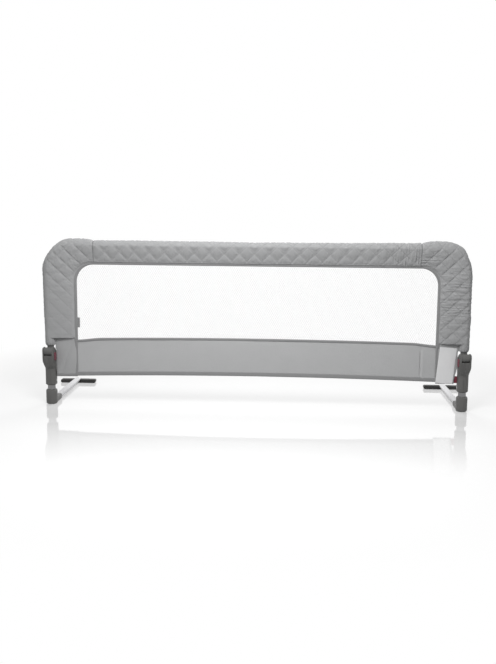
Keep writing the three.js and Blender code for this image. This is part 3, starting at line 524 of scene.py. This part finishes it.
def border_shape(route, faces, nose):
    """Plain padded section at each station: points, places on the flat cloth, and useful fields.

    t runs round a section: 1 at the window in front, 0 over the nose and 1 at the window behind.
    """
    centre, out, edge = stations(route)
    t = np.concatenate([np.linspace(1, 0, faces), np.zeros(nose - 2), np.linspace(0, 1, faces)])
    row, middle, outwards = t[None, :], centre[:, None, :], out[:, None, :]
    round_nose = np.linspace(-90, 90, nose)[1:-1]
    angle = np.radians(np.concatenate([np.full(faces, -90.0), round_nose, np.full(faces, 90.0)]))
    front = np.where(np.arange(len(t)) < faces + (nose - 2) / 2, -1.0, 1.0)
    drawn_in, drawn_from = 1.5 * mm, 10 * mm  # the sleeve narrows towards its lower end
    turned_in, turned_from = 3.6 * mm, 2.5 * mm  # and its rim turns in
    thin, puff_room = 5 * mm, 0.6 * mm
    top_slope, side_slope = 1.05, 0.45
    pinched, pinched_from, side_sooner = 0.62, 0.93, 0.09  # pressed flat where the binding holds it
    gather = drawn_in * smooth(-centre[:, 1], -sleeve_end - drawn_from, -sleeve_end)
    gather = gather + turned_in * smooth(-centre[:, 1], -sleeve_end - turned_from, -sleeve_end)
    radius = (sleeve_radius - puff_room - gather)[:, None]
    on_side = smooth(np.abs(route), seam_x, straight + bend_length)[:, None]
    body = thin + (radius - thin) * (1 - row ** (top_slope + side_slope * on_side))
    pinch = 1 - pinched * smooth(row, pinched_from - side_sooner * on_side, 1.0)
    nosed = (np.abs(angle) < math.radians(89.9))[None, :]
    half = np.where(nosed, radius * np.abs(np.sin(angle))[None, :], body * pinch)
    reach = (radius + outline_offset(route)[:, None]) * np.cos(angle)[None, :] * nosed
    inwards = row[:, :, None] * (edge - centre)[:, None, :]
    plane = middle + inwards + reach[:, :, None] * outwards
    sleeve = (centre[:, 1] < border_foot)[:, None]
    quarter = row * math.pi / 2
    rounded = middle - (radius * np.sin(quarter) - reach)[:, :, None] * outwards
    plane = np.where(sleeve[:, :, None], rounded, plane)
    half = np.where(sleeve & ~nosed, radius * np.cos(quarter), half)
    points = np.zeros((len(route), len(t), 3))
    points[:, :, [0, 2]] = plane
    points[:, :, 1] = cloth_y + front[None, :] * half
    arc = sleeve_radius * (math.pi / 2 - np.abs(angle))[None, :] * nosed
    flat = middle + inwards + arc[:, :, None] * outwards
    across = np.linalg.norm(edge - centre, axis=1)[:, None] * row - arc
    return points, flat, across, t


def ring_normals(points):
    turn = np.roll(points, -1, axis=1) - np.roll(points, 1, axis=1)
    normal = np.cross(np.gradient(points, axis=0), turn)
    normal /= np.linalg.norm(normal, axis=2)[:, :, None] + 1e-12
    nose = points.shape[1] // 2
    outward = np.sign(normal[len(points) // 2, nose, 2])
    return normal * outward


# Quilting: two families of slanting stitch lines that cross on the border's outermost line

def stitch_lines(flat, panel):
    """Signed distance to the nearest stitch line of each family, and the lines' normals."""
    x, z = flat[:, :, 0], flat[:, :, 1]
    pitch = np.where(panel == 0, top_pitch, corner_pitch)
    from_x = np.where(panel == 0, x + top_shift, np.abs(x) - rail_x - crest)
    mirror = np.where(panel < 0, -1.0, 1.0)
    from_z = z - rail_z - crest
    lines = []
    for lean in (1, -1):
        u = (from_x + lean * from_z) / pitch
        normal = np.stack([mirror, lean + 0 * mirror], -1) / math.sqrt(2)
        lines.append(((u - np.round(u)) * pitch / math.sqrt(2), normal))
    return lines


def resample(field, rows, columns):
    """Smooth (cubic) interpolation of a grid at fractional rows and columns."""
    for axis, at in ((0, rows), (1, columns)):
        count = field.shape[axis]
        base = np.clip(np.floor(at).astype(int), 0, count - 2)
        t = at - base
        weights = [-0.5 * t + t ** 2 - 0.5 * t ** 3, 1 - 2.5 * t ** 2 + 1.5 * t ** 3,
                   0.5 * t + 2 * t ** 2 - 1.5 * t ** 3, -0.5 * t ** 2 + 0.5 * t ** 3]
        total = 0
        for offset, weight in zip((-1, 0, 1, 2), weights):
            index = np.clip(base + offset, 0, count - 1)
            shape = [1] * field.ndim
            shape[axis] = -1
            total = total + np.take(field, index, axis=axis) * weight.reshape(shape)
        field = total
    return field


def shift_on_grid(points, flat, move):
    """Slides the points along their own surface by a shift given in flat cloth coordinates."""
    flat_i, flat_j = np.gradient(flat, axis=0), np.gradient(flat, axis=1)
    det = flat_i[:, :, 0] * flat_j[:, :, 1] - flat_i[:, :, 1] * flat_j[:, :, 0]
    det = np.where(np.abs(det) < 1e-10, 1e9, det)
    di = (move[:, :, 0] * flat_j[:, :, 1] - move[:, :, 1] * flat_j[:, :, 0]) / det
    dj = (flat_i[:, :, 0] * move[:, :, 1] - flat_i[:, :, 1] * move[:, :, 0]) / det
    di, dj = np.clip(di, -1, 1)[:, :, None], np.clip(dj, -1, 1)[:, :, None]
    return points + np.gradient(points, axis=0) * di + np.gradient(points, axis=1) * dj


def simulate(points, sewn, loose, spare, pressure, frames):
    """Blender cloth on a grid: sewn points stay, and the spare cloth between them is blown out.

    spare is how much longer the cloth gets than the grid, where loose is 0 and where it is 1.
    """
    rows, columns = points.shape[:2]
    mesh = bpy.data.meshes.new("cloth_trial")
    mesh.from_pydata(points.reshape(-1, 3).tolist(), [], grid_quads(rows, columns))
    obj = added("cloth_trial", mesh)
    obj.vertex_groups.new(name="sewn").add(np.flatnonzero(sewn.ravel()).tolist(), 1.0, "REPLACE")
    group = obj.vertex_groups.new(name="loose")
    for index, weight in enumerate(loose.ravel().tolist()):
        group.add([index], weight, "REPLACE")
    fabric = obj.modifiers.new("cloth", "CLOTH")
    settings = fabric.settings
    settings.vertex_group_mass = "sewn"
    settings.vertex_group_shrink = "loose"
    settings.shrink_min = -spare[0]
    settings.shrink_max = -spare[1]
    settings.quality = 5
    settings.mass = 0.1
    settings.tension_stiffness = 20
    settings.compression_stiffness = 20
    settings.shear_stiffness = 6
    settings.bending_stiffness = 0.3
    settings.tension_damping = 1
    settings.compression_damping = 1
    settings.air_damping = 1
    settings.use_pressure = True
    settings.uniform_pressure_force = -pressure  # a negative force blows this open grid outwards
    settings.effector_weights.gravity = 0
    fabric.collision_settings.use_collision = False
    fabric.point_cache.frame_start = 1
    fabric.point_cache.frame_end = frames
    for step in range(1, frames + 1):
        scene.frame_set(step)
    shown = obj.evaluated_get(bpy.context.evaluated_depsgraph_get())
    result = np.zeros(points.size, np.float32)
    shown.data.vertices.foreach_get("co", result)
    bpy.data.objects.remove(obj)
    bpy.data.meshes.remove(mesh)
    scene.frame_set(1)
    return result.reshape(points.shape).astype(float)


def creases(route, flat, across, t):
    """Folds in the cloth: upright ones in the top, level ones in the corners, crisp on the right."""
    fold_gap, fold_height, wander = 7.3 * mm, 1.2 * mm, 5 * mm
    everywhere, on_right, on_left = 0.1, 1.2, 0.2
    swell = 0.6 * mm
    r = route[:, None] * np.ones_like(across)
    corner = np.abs(r) > seam_x
    over = np.where(corner, flat[:, :, 1], flat[:, :, 0])
    run = np.where(corner, flat[:, :, 0], flat[:, :, 1])
    crisp_right = smooth(r, 300 * mm, 430 * mm)
    squeezed = smooth(over, 225 * mm, 275 * mm) * (1 - smooth(over, 425 * mm, 460 * mm))
    crisp_right = crisp_right * np.where(corner, 0.15 + 0.95 * squeezed, 0.7)
    soft_left = smooth(-r, 480 * mm, 560 * mm)
    patchy = 0.6 + 0.6 * noise(over * 14, run * 9, 11) + 0.45 * (noise(over * 11, run * 12, 5) > 0)
    bent = over + wander * noise(run * 20, over * 8, 3)
    ridge = 1 - np.abs(noise(bent / fold_gap, run * 16, 8))
    strength = (everywhere + on_right * crisp_right + on_left * soft_left) * patchy
    height = strength * fold_height * (ridge ** 3 - 0.35)
    height = height + swell * noise(r * 24, across * 24, 21)
    return height * (1 - smooth(t, 0.86, 1.0)[None, :])


def border_grid(route, faces, nose):
    points, flat, across, t = border_shape(route, faces, nose)
    points = points + ring_normals(points) * creases(route, flat, across, t)[:, :, None]
    return points, flat, across, t


def puffed(route, faces, nose):
    """How far the simulated wadding moves each point of a coarse border grid."""
    points, flat, across, t = border_grid(route, faces, nose)
    panel = np.where(np.abs(route) < seam_x, 0.0, np.sign(route))[:, None] * np.ones_like(across)
    line_reach = 2.1 * mm  # points nearer than this to a line are moved on to it and sewn
    seam_reach, foot_reach, edge_from = 2 * mm, 3 * mm, 0.93
    tallest = 5 * mm
    sewn = np.zeros(across.shape, bool)
    move = np.zeros(flat.shape)
    for distance, normal in stitch_lines(flat, panel):
        near = np.abs(distance) < line_reach
        move -= np.where(near, distance, 0)[:, :, None] * normal
        sewn |= near
    snapped = shift_on_grid(points, flat, move)
    s = np.abs(route)
    at_edge = t > edge_from
    sewn[:, at_edge] = True
    sewn[(np.abs(s - seam_x) < seam_reach) | (s > foot_at - foot_reach), :] = True
    snapped[:, at_edge] = points[:, at_edge]
    crushed = smooth(route, 250 * mm, 430 * mm) + 0.3 * bump_at(route, -540 * mm, 90 * mm)
    crushed = np.clip(crushed[:, None] * (0.75 + 0.5 * noise(route[:, None] * 9, across * 9, 15)), 0, 1)
    result = simulate(snapped, sewn, crushed, spare=(0.014, 0.045), pressure=250, frames=20)
    moved = result - snapped
    size = np.linalg.norm(moved, axis=2)[:, :, None]
    flatter = 1 - 0.75 * smooth(-route, 620 * mm, 700 * mm)[:, None, None]
    return moved * flatter * np.minimum(1, tallest / (size + 1e-9))


def border():
    fine_faces, fine_nose = 48 // detail, 25 // detail * 2 + 1
    step, coarse_step = 1.7 * mm * detail, 3.0 * mm
    stitch_depth, stitch_width = 0.35 * mm, 1.5 * mm
    seam_depth, seam_width = 1.6 * mm, 1.9 * mm
    gather_height, gather_gap, gather_reach = 0.5 * mm, 3.5 * mm, 12 * mm
    hairline = 0.05 * mm
    route = np.linspace(-half_length, half_length, int(2 * half_length / step))
    cut = [foot_at - hairline, foot_at + hairline, -foot_at + hairline, -foot_at - hairline]
    route = np.sort(np.concatenate([route[np.abs(np.abs(route) - foot_at) > step / 3], cut]))
    points, flat, across, t = border_grid(route, fine_faces, fine_nose)
    s = np.abs(route)[:, None] * np.ones_like(across)
    panel = np.where(s < seam_x, 0.0, np.sign(route)[:, None])
    at_edge = 1 - smooth(t, 0.9, 1.0)[None, :]
    normals = ring_normals(points)
    lines = stitch_lines(flat, panel)
    faces, nose = 24, 17
    coarse = np.linspace(-half_length, half_length, int(2 * half_length / coarse_step))
    moved = puffed(coarse, faces, nose)
    columns = 2 * faces + nose - 2
    points = points + resample(moved, (route + half_length) / (coarse[1] - coarse[0]),
                               np.linspace(0, columns - 1, points.shape[1]))
    valley = sum(bump_at(distance, 0, stitch_width) for distance, _ in lines)
    height = -stitch_depth * np.minimum(valley, 1) * at_edge * (s < foot_at)
    height = height - seam_depth * bump_at(s, seam_x, seam_width) * at_edge
    gathered = noise(across / gather_gap, route[:, None] * 30, 31)
    height = height + gather_height * gathered * smooth(s, half_length - gather_reach, half_length)
    points = points + normals * height[:, :, None]
    obj = ring_tube("quilted_border", points, quilt_cloth.material, flat)
    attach(obj, "rail")
    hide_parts("cover_corner_right", "cover_corner_left", "cover_top")


border()


# Binding round the window, which runs on down to the hem between the panel and the end flaps

binding_half = 5.4 * mm
binding_middle = 3.0 * mm  # how far the tape's own middle lies outside the window's line
hem_rise = 7 * mm
arch_crown = arch_top - 3.1 * mm  # the window's lower edge where it is highest
arch_fall, arch_drop = 6.3 * mm, 4.7 * mm


def cross_fold(obj):
    """Bakes the object's placement into its mesh."""
    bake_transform(obj)


def wobble(at, waves, height, seed):
    """Small waves along a sewn tape."""
    return height * noise(at * waves, at * 0, seed)


def even_path(points, spacing=3 * mm):
    """Evenly spaced points along a polyline."""
    points = np.asarray(points, float)
    length = distances(points)
    even = np.linspace(0, length[-1], max(int(length[-1] / spacing), 2) + 1)
    return np.stack([np.interp(even, length, points[:, 0]), np.interp(even, length, points[:, 1])], 1)


def hem_line(x):
    """Lower edge of the cloth, highest in the middle."""
    share = np.clip(np.abs(x) / window_half, 0, 1)
    return hem_foot + hem_rise * (1 - share ** 2)


def arch_line(x):
    """Lower edge of the window: a flat arch that drops at both ends."""
    share = np.abs(x) / window_half
    return arch_crown - arch_fall * share ** 2 - arch_drop * smooth(share, 0.86, 1.0)


def window_path():
    below_arch = 8 * mm
    turn = np.linspace(0, math.pi / 2, 24 // detail)[1:]
    right = [(window_half, arch_line(window_half) - below_arch), (window_half, corner_z)]
    round_x, round_z = window_corner * np.cos(turn), window_corner * np.sin(turn)
    right += list(zip(corner_x + round_x, corner_z + round_z))
    left = [(-x, z) for x, z in reversed(right)]
    return even_path(right + left, 3 * mm * detail)


def binding():
    path = window_path()
    waves = wobble(distances(path), 22, 0.35 * mm, 41)
    flat_band = rounded_section(binding_half, 2.7 * mm, -binding_middle, points=22)
    narrower = 0.4 * smooth(path[:, 1], window_top - window_corner, window_top - 2 * mm)
    obj = ribbon("window_binding", path, flat_band, trim_cloth.material, waves, 1 - narrower)
    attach(obj, "rail")
    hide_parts("piping_right", "piping_left", "piping_top")


def side_seam(side, sign, half_width):
    """The seam that carries the binding's line on down to the hem."""
    over_panel, above_hem, under_binding = 1.5 * mm, 4 * mm, 6 * mm
    x = sign * (window_half - over_panel + half_width)
    foot, top = hem_line(window_half) + above_hem, arch_line(window_half) - under_binding
    path = even_path([(x, foot), (x, top)])
    waves = wobble(path[:, 1], 40, 0.3 * mm, 45)
    section = rounded_section(half_width, 2.3 * mm)
    obj = ribbon(f"side_seam_{side}", path, section, trim_cloth.material, waves)
    cross_fold(obj)


binding()
side_seam("right", 1, 3.0 * mm)
# the seam tape is real on both sides; the left one's extra width is painted shadow in the groove beside
# the left flap
side_seam("left", -1, 4.4 * mm)


def arch_binding():
    x = np.linspace(-window_half + 2 * mm, window_half - 2 * mm, 380 // detail)
    path = np.stack([x, arch_line(x) - 3.5 * mm], 1)
    waves = wobble(x, 18, 0.3 * mm, 43)
    section = rounded_section(3.6 * mm, 2.5 * mm)
    obj = ribbon("arch_binding", path, section, hem_cloth.material, waves)
    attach(obj, "rail")
    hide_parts("piping_arch")


arch_binding()


# Window net: zigzag yarns that meet their neighbours, so the openings are hexagons

def net():
    pitch, rise, half_thread = 3.0 * mm, 2.6 * mm, 0.2 * mm
    slack, inset = 1.2 * mm, 4 * mm
    columns = int(2 * (window_half - inset) / pitch)
    points, faces, flat = [], [], []
    for i in range(columns):
        x = -window_half + inset + (i + 0.5) * pitch
        beyond = max(abs(x) - corner_x, 0)
        top = corner_z + math.sqrt(max((window_corner - 1 * mm) ** 2 - beyond ** 2, 0)) - 1 * mm
        low = float(arch_line(x)) - 2 * mm
        levels = np.arange(round(low / rise), round(top / rise)) * rise
        swing = pitch / 2 - half_thread
        phase = 1 if i % 2 else -1
        zig = np.array([phase * (1 if round(z / rise) % 4 in (0, 1) else -1) for z in levels]) * swing
        y = cloth_y + slack * noise(np.full(len(levels), x * 5), levels * 8, 51)
        start = len(points)
        for k, (z, dx) in enumerate(zip(levels, zig)):
            for ax, ay in ((-half_thread, -half_thread), (half_thread, -half_thread), (0, half_thread)):
                points.append((x + dx + ax, y[k] + ay, z))
                flat.append((x + ax, z))
            if k:
                a, b = start + 3 * (k - 1), start + 3 * k
                faces += [[a, a + 1, b + 1, b], [a + 1, a + 2, b + 2, b + 1], [a + 2, a, b, b + 2]]
        last = len(points) - 3
        faces += [[start, start + 2, start + 1], [last, last + 1, last + 2]]
    obj = make("mesh_window", points, faces, net_cloth.material, flat, sharp=180)
    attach(obj, "rail")
    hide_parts("window_net")


net()


# Lower panel, end flaps and hem

def cloth_relief(x, z, seed, strength=1.0):
    """Slack waves in flat cloth, longer upwards than across."""
    wide = noise(x * 7, z * 5, seed) * 1.5 * mm
    folds = noise(x * 22, z * 6, seed + 1) * 0.55 * mm
    return strength * (wide + folds)


dart_x = 466 * mm  # an upright fold near the panel's right end
flap_inner = window_half + 1 * mm
flap_outer = 568.1 * mm
flap_feet = {1: flap_foot, -1: flap_foot + 2.5 * mm}  # the right flap's and the left one's


def panel():
    crease_depth, ridge_height = 2.6 * mm, 2.2 * mm
    fold_full, fold_gone = 0.15, 0.19  # heights between which the upright fold fades
    close_from, close_to, side_gap = dart_x - 10 * mm, dart_x + 20 * mm, 1 * mm
    x = np.linspace(-window_half + side_gap, window_half - side_gap, 300 // detail)
    apart = (x < close_from - side_gap) | (x > close_to + side_gap)
    x = np.concatenate([x[apart], np.linspace(close_from, close_to, 31)])
    x.sort()
    share = np.linspace(0, 1, 44 // detail)[:, None]
    low, high = hem_line(x) + 3 * mm, arch_line(x) - 4 * mm
    z = low + (high - low) * share
    xx = np.broadcast_to(x, z.shape)
    fixed = np.sin(math.pi * share) ** 0.6
    edge = 1 - smooth(np.abs(xx), window_half - 16 * mm, window_half)
    y = cloth_relief(xx, z, 61) * fixed * edge
    past = xx + 2 * mm * noise(z * 12, z * 0, 7) - dart_x
    ridge = smooth(past, 0, 6 * mm) * np.exp(-np.maximum(past - 6 * mm, 0) / (11 * mm))
    dart = crease_depth * bump_at(past, -1.2 * mm, 1.5 * mm) - ridge_height * ridge
    y = y + dart * fixed * (1 - smooth(z, fold_full, fold_gone))
    surface = np.stack([xx, cloth_y + y, z], -1)
    obj = slab("lower_panel", surface, 1.6 * mm, panel_cloth.material)
    cross_fold(obj)
    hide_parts("panel_strip", "skirt_panel")


def flap(side, sign):
    """The right flap narrows towards its foot. The left one has a bulge, a slanting fold and a lip."""
    foot, top = flap_feet[sign], border_foot + 1.5 * mm
    sleeve_step, foot_step, lip = 3.6 * mm, 9 * mm, 2.6 * mm
    bulge, seam_bulge = 2.2 * mm, 0.6 * mm
    fold_up, fold_down, fold_lean = 1.6 * mm, 0.9 * mm, 0.42
    across, share = np.meshgrid(np.linspace(0, 1, 34 // detail), np.linspace(0, 1, 56 // detail))
    z = foot + (top - foot) * share
    upwards, sideways = np.sin(math.pi * share), np.sin(math.pi * across)
    outer = flap_outer + sleeve_step * smooth(z, sleeve_end - 1 * mm, sleeve_end + 4 * mm)
    if sign > 0:
        outer = outer - foot_step * smooth(130 * mm - z, 0, 52 * mm)
    else:
        outer = outer + lip * smooth(z, 153 * mm, 167 * mm) * (1 - smooth(z, 169 * mm, 172 * mm))
    x = sign * (flap_inner + (outer - flap_inner) * across)
    y = cloth_relief(x, z, 71, 0.35) * upwards
    if sign < 0:
        run = (np.abs(x) - flap_inner) + (z - foot) * fold_lean
        fold = fold_up * bump_at(run, 52 * mm, 6 * mm) - fold_down * bump_at(run, 36 * mm, 9 * mm)
        near_seam = 1 - smooth(np.abs(x) - flap_inner, 5 * mm, 18 * mm)
        y = y + (fold - bulge) * upwards * sideways - seam_bulge * near_seam * upwards ** 0.5
    surface = np.stack([x, cloth_y + y, z], -1)
    obj = slab(f"end_flap_{side}", surface, 2.6 * mm, flap_painted_shade_cloth.material)
    cross_fold(obj)
    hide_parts(f"flap_strip_{side}", f"skirt_flap_{side}")


panel()
for side, sign in sides.items():
    flap(side, sign)


def hem():
    x = np.linspace(-window_half - 3 * mm, window_half + 3 * mm, 300 // detail)
    path = np.stack([x, hem_line(x) + 7.5 * mm], 1)
    waves = wobble(x, 14, 0.5 * mm, 47)
    section = rounded_section(6 * mm, 2.2 * mm, squareness=4)
    obj = ribbon("hem_tape", path, section, hem_cloth.material, waves)
    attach(obj, "base")
    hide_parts("hem_binding")
    section = rounded_section(5 * mm, 2.0 * mm, squareness=4)
    for side, sign in sides.items():
        foot = flap_feet[sign]
        outer = flap_outer - (8.5 * mm if sign > 0 else 0) + 0.2 * mm
        ends = [(sign * flap_inner, foot + 5 * mm), (sign * outer, foot + 4.4 * mm)]
        band = ribbon(f"flap_hem_{side}", even_path(ends), section, hem_cloth.material)
        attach(band, "base")


hem()


# Label, loop tab and corner straps

def label():
    low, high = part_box("label_lower")[0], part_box("label_upper")[1]
    width, lean, slant = 47.5 * mm, 9.2 * mm, 3 * mm
    curl, crumple = 0.5 * mm, 0.35 * mm
    across, share = np.meshgrid(np.linspace(0, 1, 22 // detail), np.linspace(0, 1, 40 // detail))
    z = low.z + (high.z - low.z) * share - slant * (across - 0.5)
    x = high.x - width - lean * (1 - share) + width * across
    y = low.y + 0.2 * mm - curl * np.sin(share * 5.2 + 0.6) * (0.4 + across)
    y = y - crumple * noise(x * 60, z * 40, 81)
    surface = np.stack([x, y, z], -1)
    flat = np.stack([width * across, (high.z - low.z) * share], -1)
    obj = slab("blank_label", surface, 0.7 * mm, label_cloth.material, flat)
    cross_fold(obj)
    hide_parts("label_upper", "label_lower")


label()


def loop_tab():
    low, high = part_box("loop_tab")
    gap, sag, under_binding = 1.1 * mm, 0.6 * mm, 1.5 * mm
    turn = np.linspace(-math.pi / 2, math.pi / 2, 10)
    out = high.x - gap
    mid = [(low.x - under_binding, -gap), (out, -gap)]
    mid += [(out + gap * math.cos(a), gap * math.sin(a)) for a in turn[1:-1]]
    mid += [(out, gap), (low.x - under_binding, gap)]
    mid = np.array(mid)
    z = np.linspace(low.z, high.z, 16)
    surface = np.zeros((len(z), len(mid), 3))
    surface[:, :, 0] = mid[None, :, 0]
    surface[:, :, 1] = cloth_y + mid[None, :, 1]
    surface[:, :, 2] = z[:, None] - sag * np.sin(np.linspace(0, math.pi, len(mid)))[None, :]
    flat = np.stack(np.broadcast_arrays(z[:, None], distances(mid)[None, :]), -1)
    obj = slab("tab_loop", surface, 0.8 * mm, trim_cloth.material, flat)
    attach(obj, "rail")
    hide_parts("loop_tab")


loop_tab()


def corner_strap(side):
    node = f"corner_strap_{side}"
    low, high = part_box(node)
    x, z = np.meshgrid(np.linspace(low.x, high.x, 14), np.linspace(low.z, high.z, 12))
    bow, clearance = 0.25 * mm, 0.4 * mm
    y = (low.y + high.y) / 2 + bow * np.sin((x - low.x) / (high.x - low.x) * math.pi)
    thickness = high.y - low.y - clearance
    obj = slab(f"red_strap_{side}", np.stack([x, y, z], -1), thickness, red_webbing.material)
    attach(obj, "base")
    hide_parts(node)


for side in sides:
    corner_strap(side)


# Hard parts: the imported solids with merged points, rounded edges and smooth shading

def finer(node, body, slot_name, bevel=0.0):
    rounded_from, sharp_from = math.radians(28), math.radians(36)
    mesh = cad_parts[node].data.copy()
    cleaned(mesh, merged=True)
    mesh.materials.clear()
    mesh.materials.append(hard[slot_name].material)
    obj = added(node + "_finished", mesh)
    if bevel:
        rounding = obj.modifiers.new("rounding", "BEVEL")
        rounding.width = bevel
        rounding.segments = 2
        rounding.limit_method = "ANGLE"
        rounding.angle_limit = rounded_from
        bake(obj)
    obj.data.shade_smooth()
    obj.data.set_sharp_from_angle(angle=sharp_from)
    if body:
        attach(obj, body)
    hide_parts(node)
    return obj


def spring(side):
    """The button's return spring, finished and baked in place, on no body."""
    node = f"button_spring_{side}"
    obj = finer(node, None, "fastener_steel")
    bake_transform(obj)


wide_round, small_round = 0.5 * mm, 0.4 * mm
for side, sign in sides.items():
    spring(side)
    for part in ("hinge_casing_outer", "hinge_casing_inner", "foot_elbow"):
        finer(f"{part}_{side}", "base", "casing_plastic", wide_round)
    button = f"release_button_{side}"
    finer(f"foot_bar_{side}", "base", "bar_plastic", wide_round)
    finer(f"knuckle_{side}", "rail", "casing_plastic", small_round)
    finer(button, button, "red_plastic", small_round)
    finer(f"lock_pin_{side}", button, "fastener_steel")
    finer(f"leg_tube_{side}", "base", "frame_steel")
    finer(f"arm_tube_{side}", "base", "arm_steel")
    finer(f"corner_tube_{side}", "rail", "frame_steel")
    for part in ("pivot_pin", "casing_screw_upper", "casing_screw_lower", "foot_bar_rivet"):
        finer(f"{part}_{side}", "base", "fastener_steel")
    for part in ("frame_rivet", "snap_pin"):
        finer(f"{part}_{side}", "rail", "fastener_steel")
finer("top_tube", "rail", "frame_steel")


# Stage: white floor with a faint gloss, white surroundings, soft lights

floor_tone, floor_bounce = 0.70, 0.35  # colour as seen, and as it lights the object
floor_glow, floor_clear, floor_gloss = 0.4, 0.2, 0.34  # shares of white, of clear and of mirror
gloss_full, gloss_gone = 0.28, 0.80  # the mirror fades by the distance along y
white_from, white_full = 0.75, 1.3  # the whole floor turns white by the distance from the origin
room_light = 0.5


def seen_directly(tree):
    """1 for rays from the camera, a mirror or glass, and 0 for rays that light the object."""
    path = tree.nodes.new("ShaderNodeLightPath")
    total = path.outputs["Is Camera Ray"]
    for name in ("Is Glossy Ray", "Is Transmission Ray"):
        larger = tree.nodes.new("ShaderNodeMath")
        larger.operation = "MAXIMUM"
        tree.links.new(total, larger.inputs[0])
        tree.links.new(path.outputs[name], larger.inputs[1])
        total = larger.outputs[0]
    return total


def stage():
    """Pale floor that mirrors the object and lets a piece swung below it show faintly."""
    s = Shader("pale floor", (1, 1, 1), 1.0)
    s.tree.nodes.remove(s.surface)
    seen = seen_directly(s.tree)
    matt = s.node("BsdfDiffuse")
    s.link(s.choose(seen, floor_bounce, floor_tone), matt.inputs["Color"])
    white = s.node("Emission")
    s.link(s.spread(seen, room_light / 2, 1.0), white.inputs["Strength"])
    clear = s.node("BsdfTransparent")
    gloss = s.node("BsdfGlossy")
    gloss.inputs["Color"].default_value = (1, 1, 1, 1)
    gloss.inputs["Roughness"].default_value = 0.05
    place = s.place(flat=False)
    split = s.node("SeparateXYZ")
    s.link(place, split.inputs[0])
    from_rail = s.calc("ABSOLUTE", split.outputs[1])
    mirror = s.ease(from_rail, gloss_full, gloss_gone, floor_gloss, 0.0)
    away = s.node("VectorMath", operation="LENGTH")
    s.link(place, away.inputs[0])
    far = s.ease(away.outputs["Value"], white_from, white_full, 0.0, 1.0)
    pale = s.mixed(floor_glow, matt.outputs[0], white.outputs[0])
    thin = s.mixed(floor_clear, pale, clear.outputs[0])
    polished = s.mixed(mirror, thin, gloss.outputs[0])
    ground = s.mixed(far, polished, white.outputs[0])
    s.link(ground, s.tree.nodes["Material Output"].inputs[0])
    mesh = bpy.data.meshes.new("floor")
    reach, z = 6.0, -0.6 * mm
    corners = [(-reach, -reach, z), (reach, -reach, z), (reach, reach, z), (-reach, reach, z)]
    mesh.from_pydata(corners, [], [(0, 1, 2, 3)])
    mesh.materials.append(s.material)
    floor = added("floor", mesh)


def area_light(name, place, target, size, power):
    data = bpy.data.lights.new(name, "AREA")
    data.shape = "DISK"
    data.size = size
    data.energy = power
    light = added(name, data)
    light.location = place
    light.rotation_euler = (Vector(target) - Vector(place)).to_track_quat("-Z", "Y").to_euler()
    light.visible_camera = False
    light.visible_glossy = False


def lighting():
    world = bpy.data.worlds.new("white studio")
    world.use_nodes = True
    tree = world.node_tree
    background = tree.nodes["Background"]
    background.inputs["Color"].default_value = (1, 1, 1, 1)
    strength = tree.nodes.new("ShaderNodeMapRange")
    tree.links.new(seen_directly(tree), strength.inputs["Value"])
    strength.inputs["To Min"].default_value = room_light
    strength.inputs["To Max"].default_value = 1.0
    tree.links.new(strength.outputs[0], background.inputs["Strength"])
    scene.world = world
    area_light("overhead", (0, -0.3, 1.9), (0, cloth_y, 0.3), size=0.9, power=5.7)
    area_light("key", (-0.05, cloth_y - 0.85, 1.1), (0, cloth_y, 0.2), size=0.5, power=15.5)
    area_light("back", (0.1, cloth_y + 1.1, 1.2), (0, cloth_y, 0.2), size=0.8, power=12)


stage()
lighting()
scene.view_settings.view_transform = "Standard"
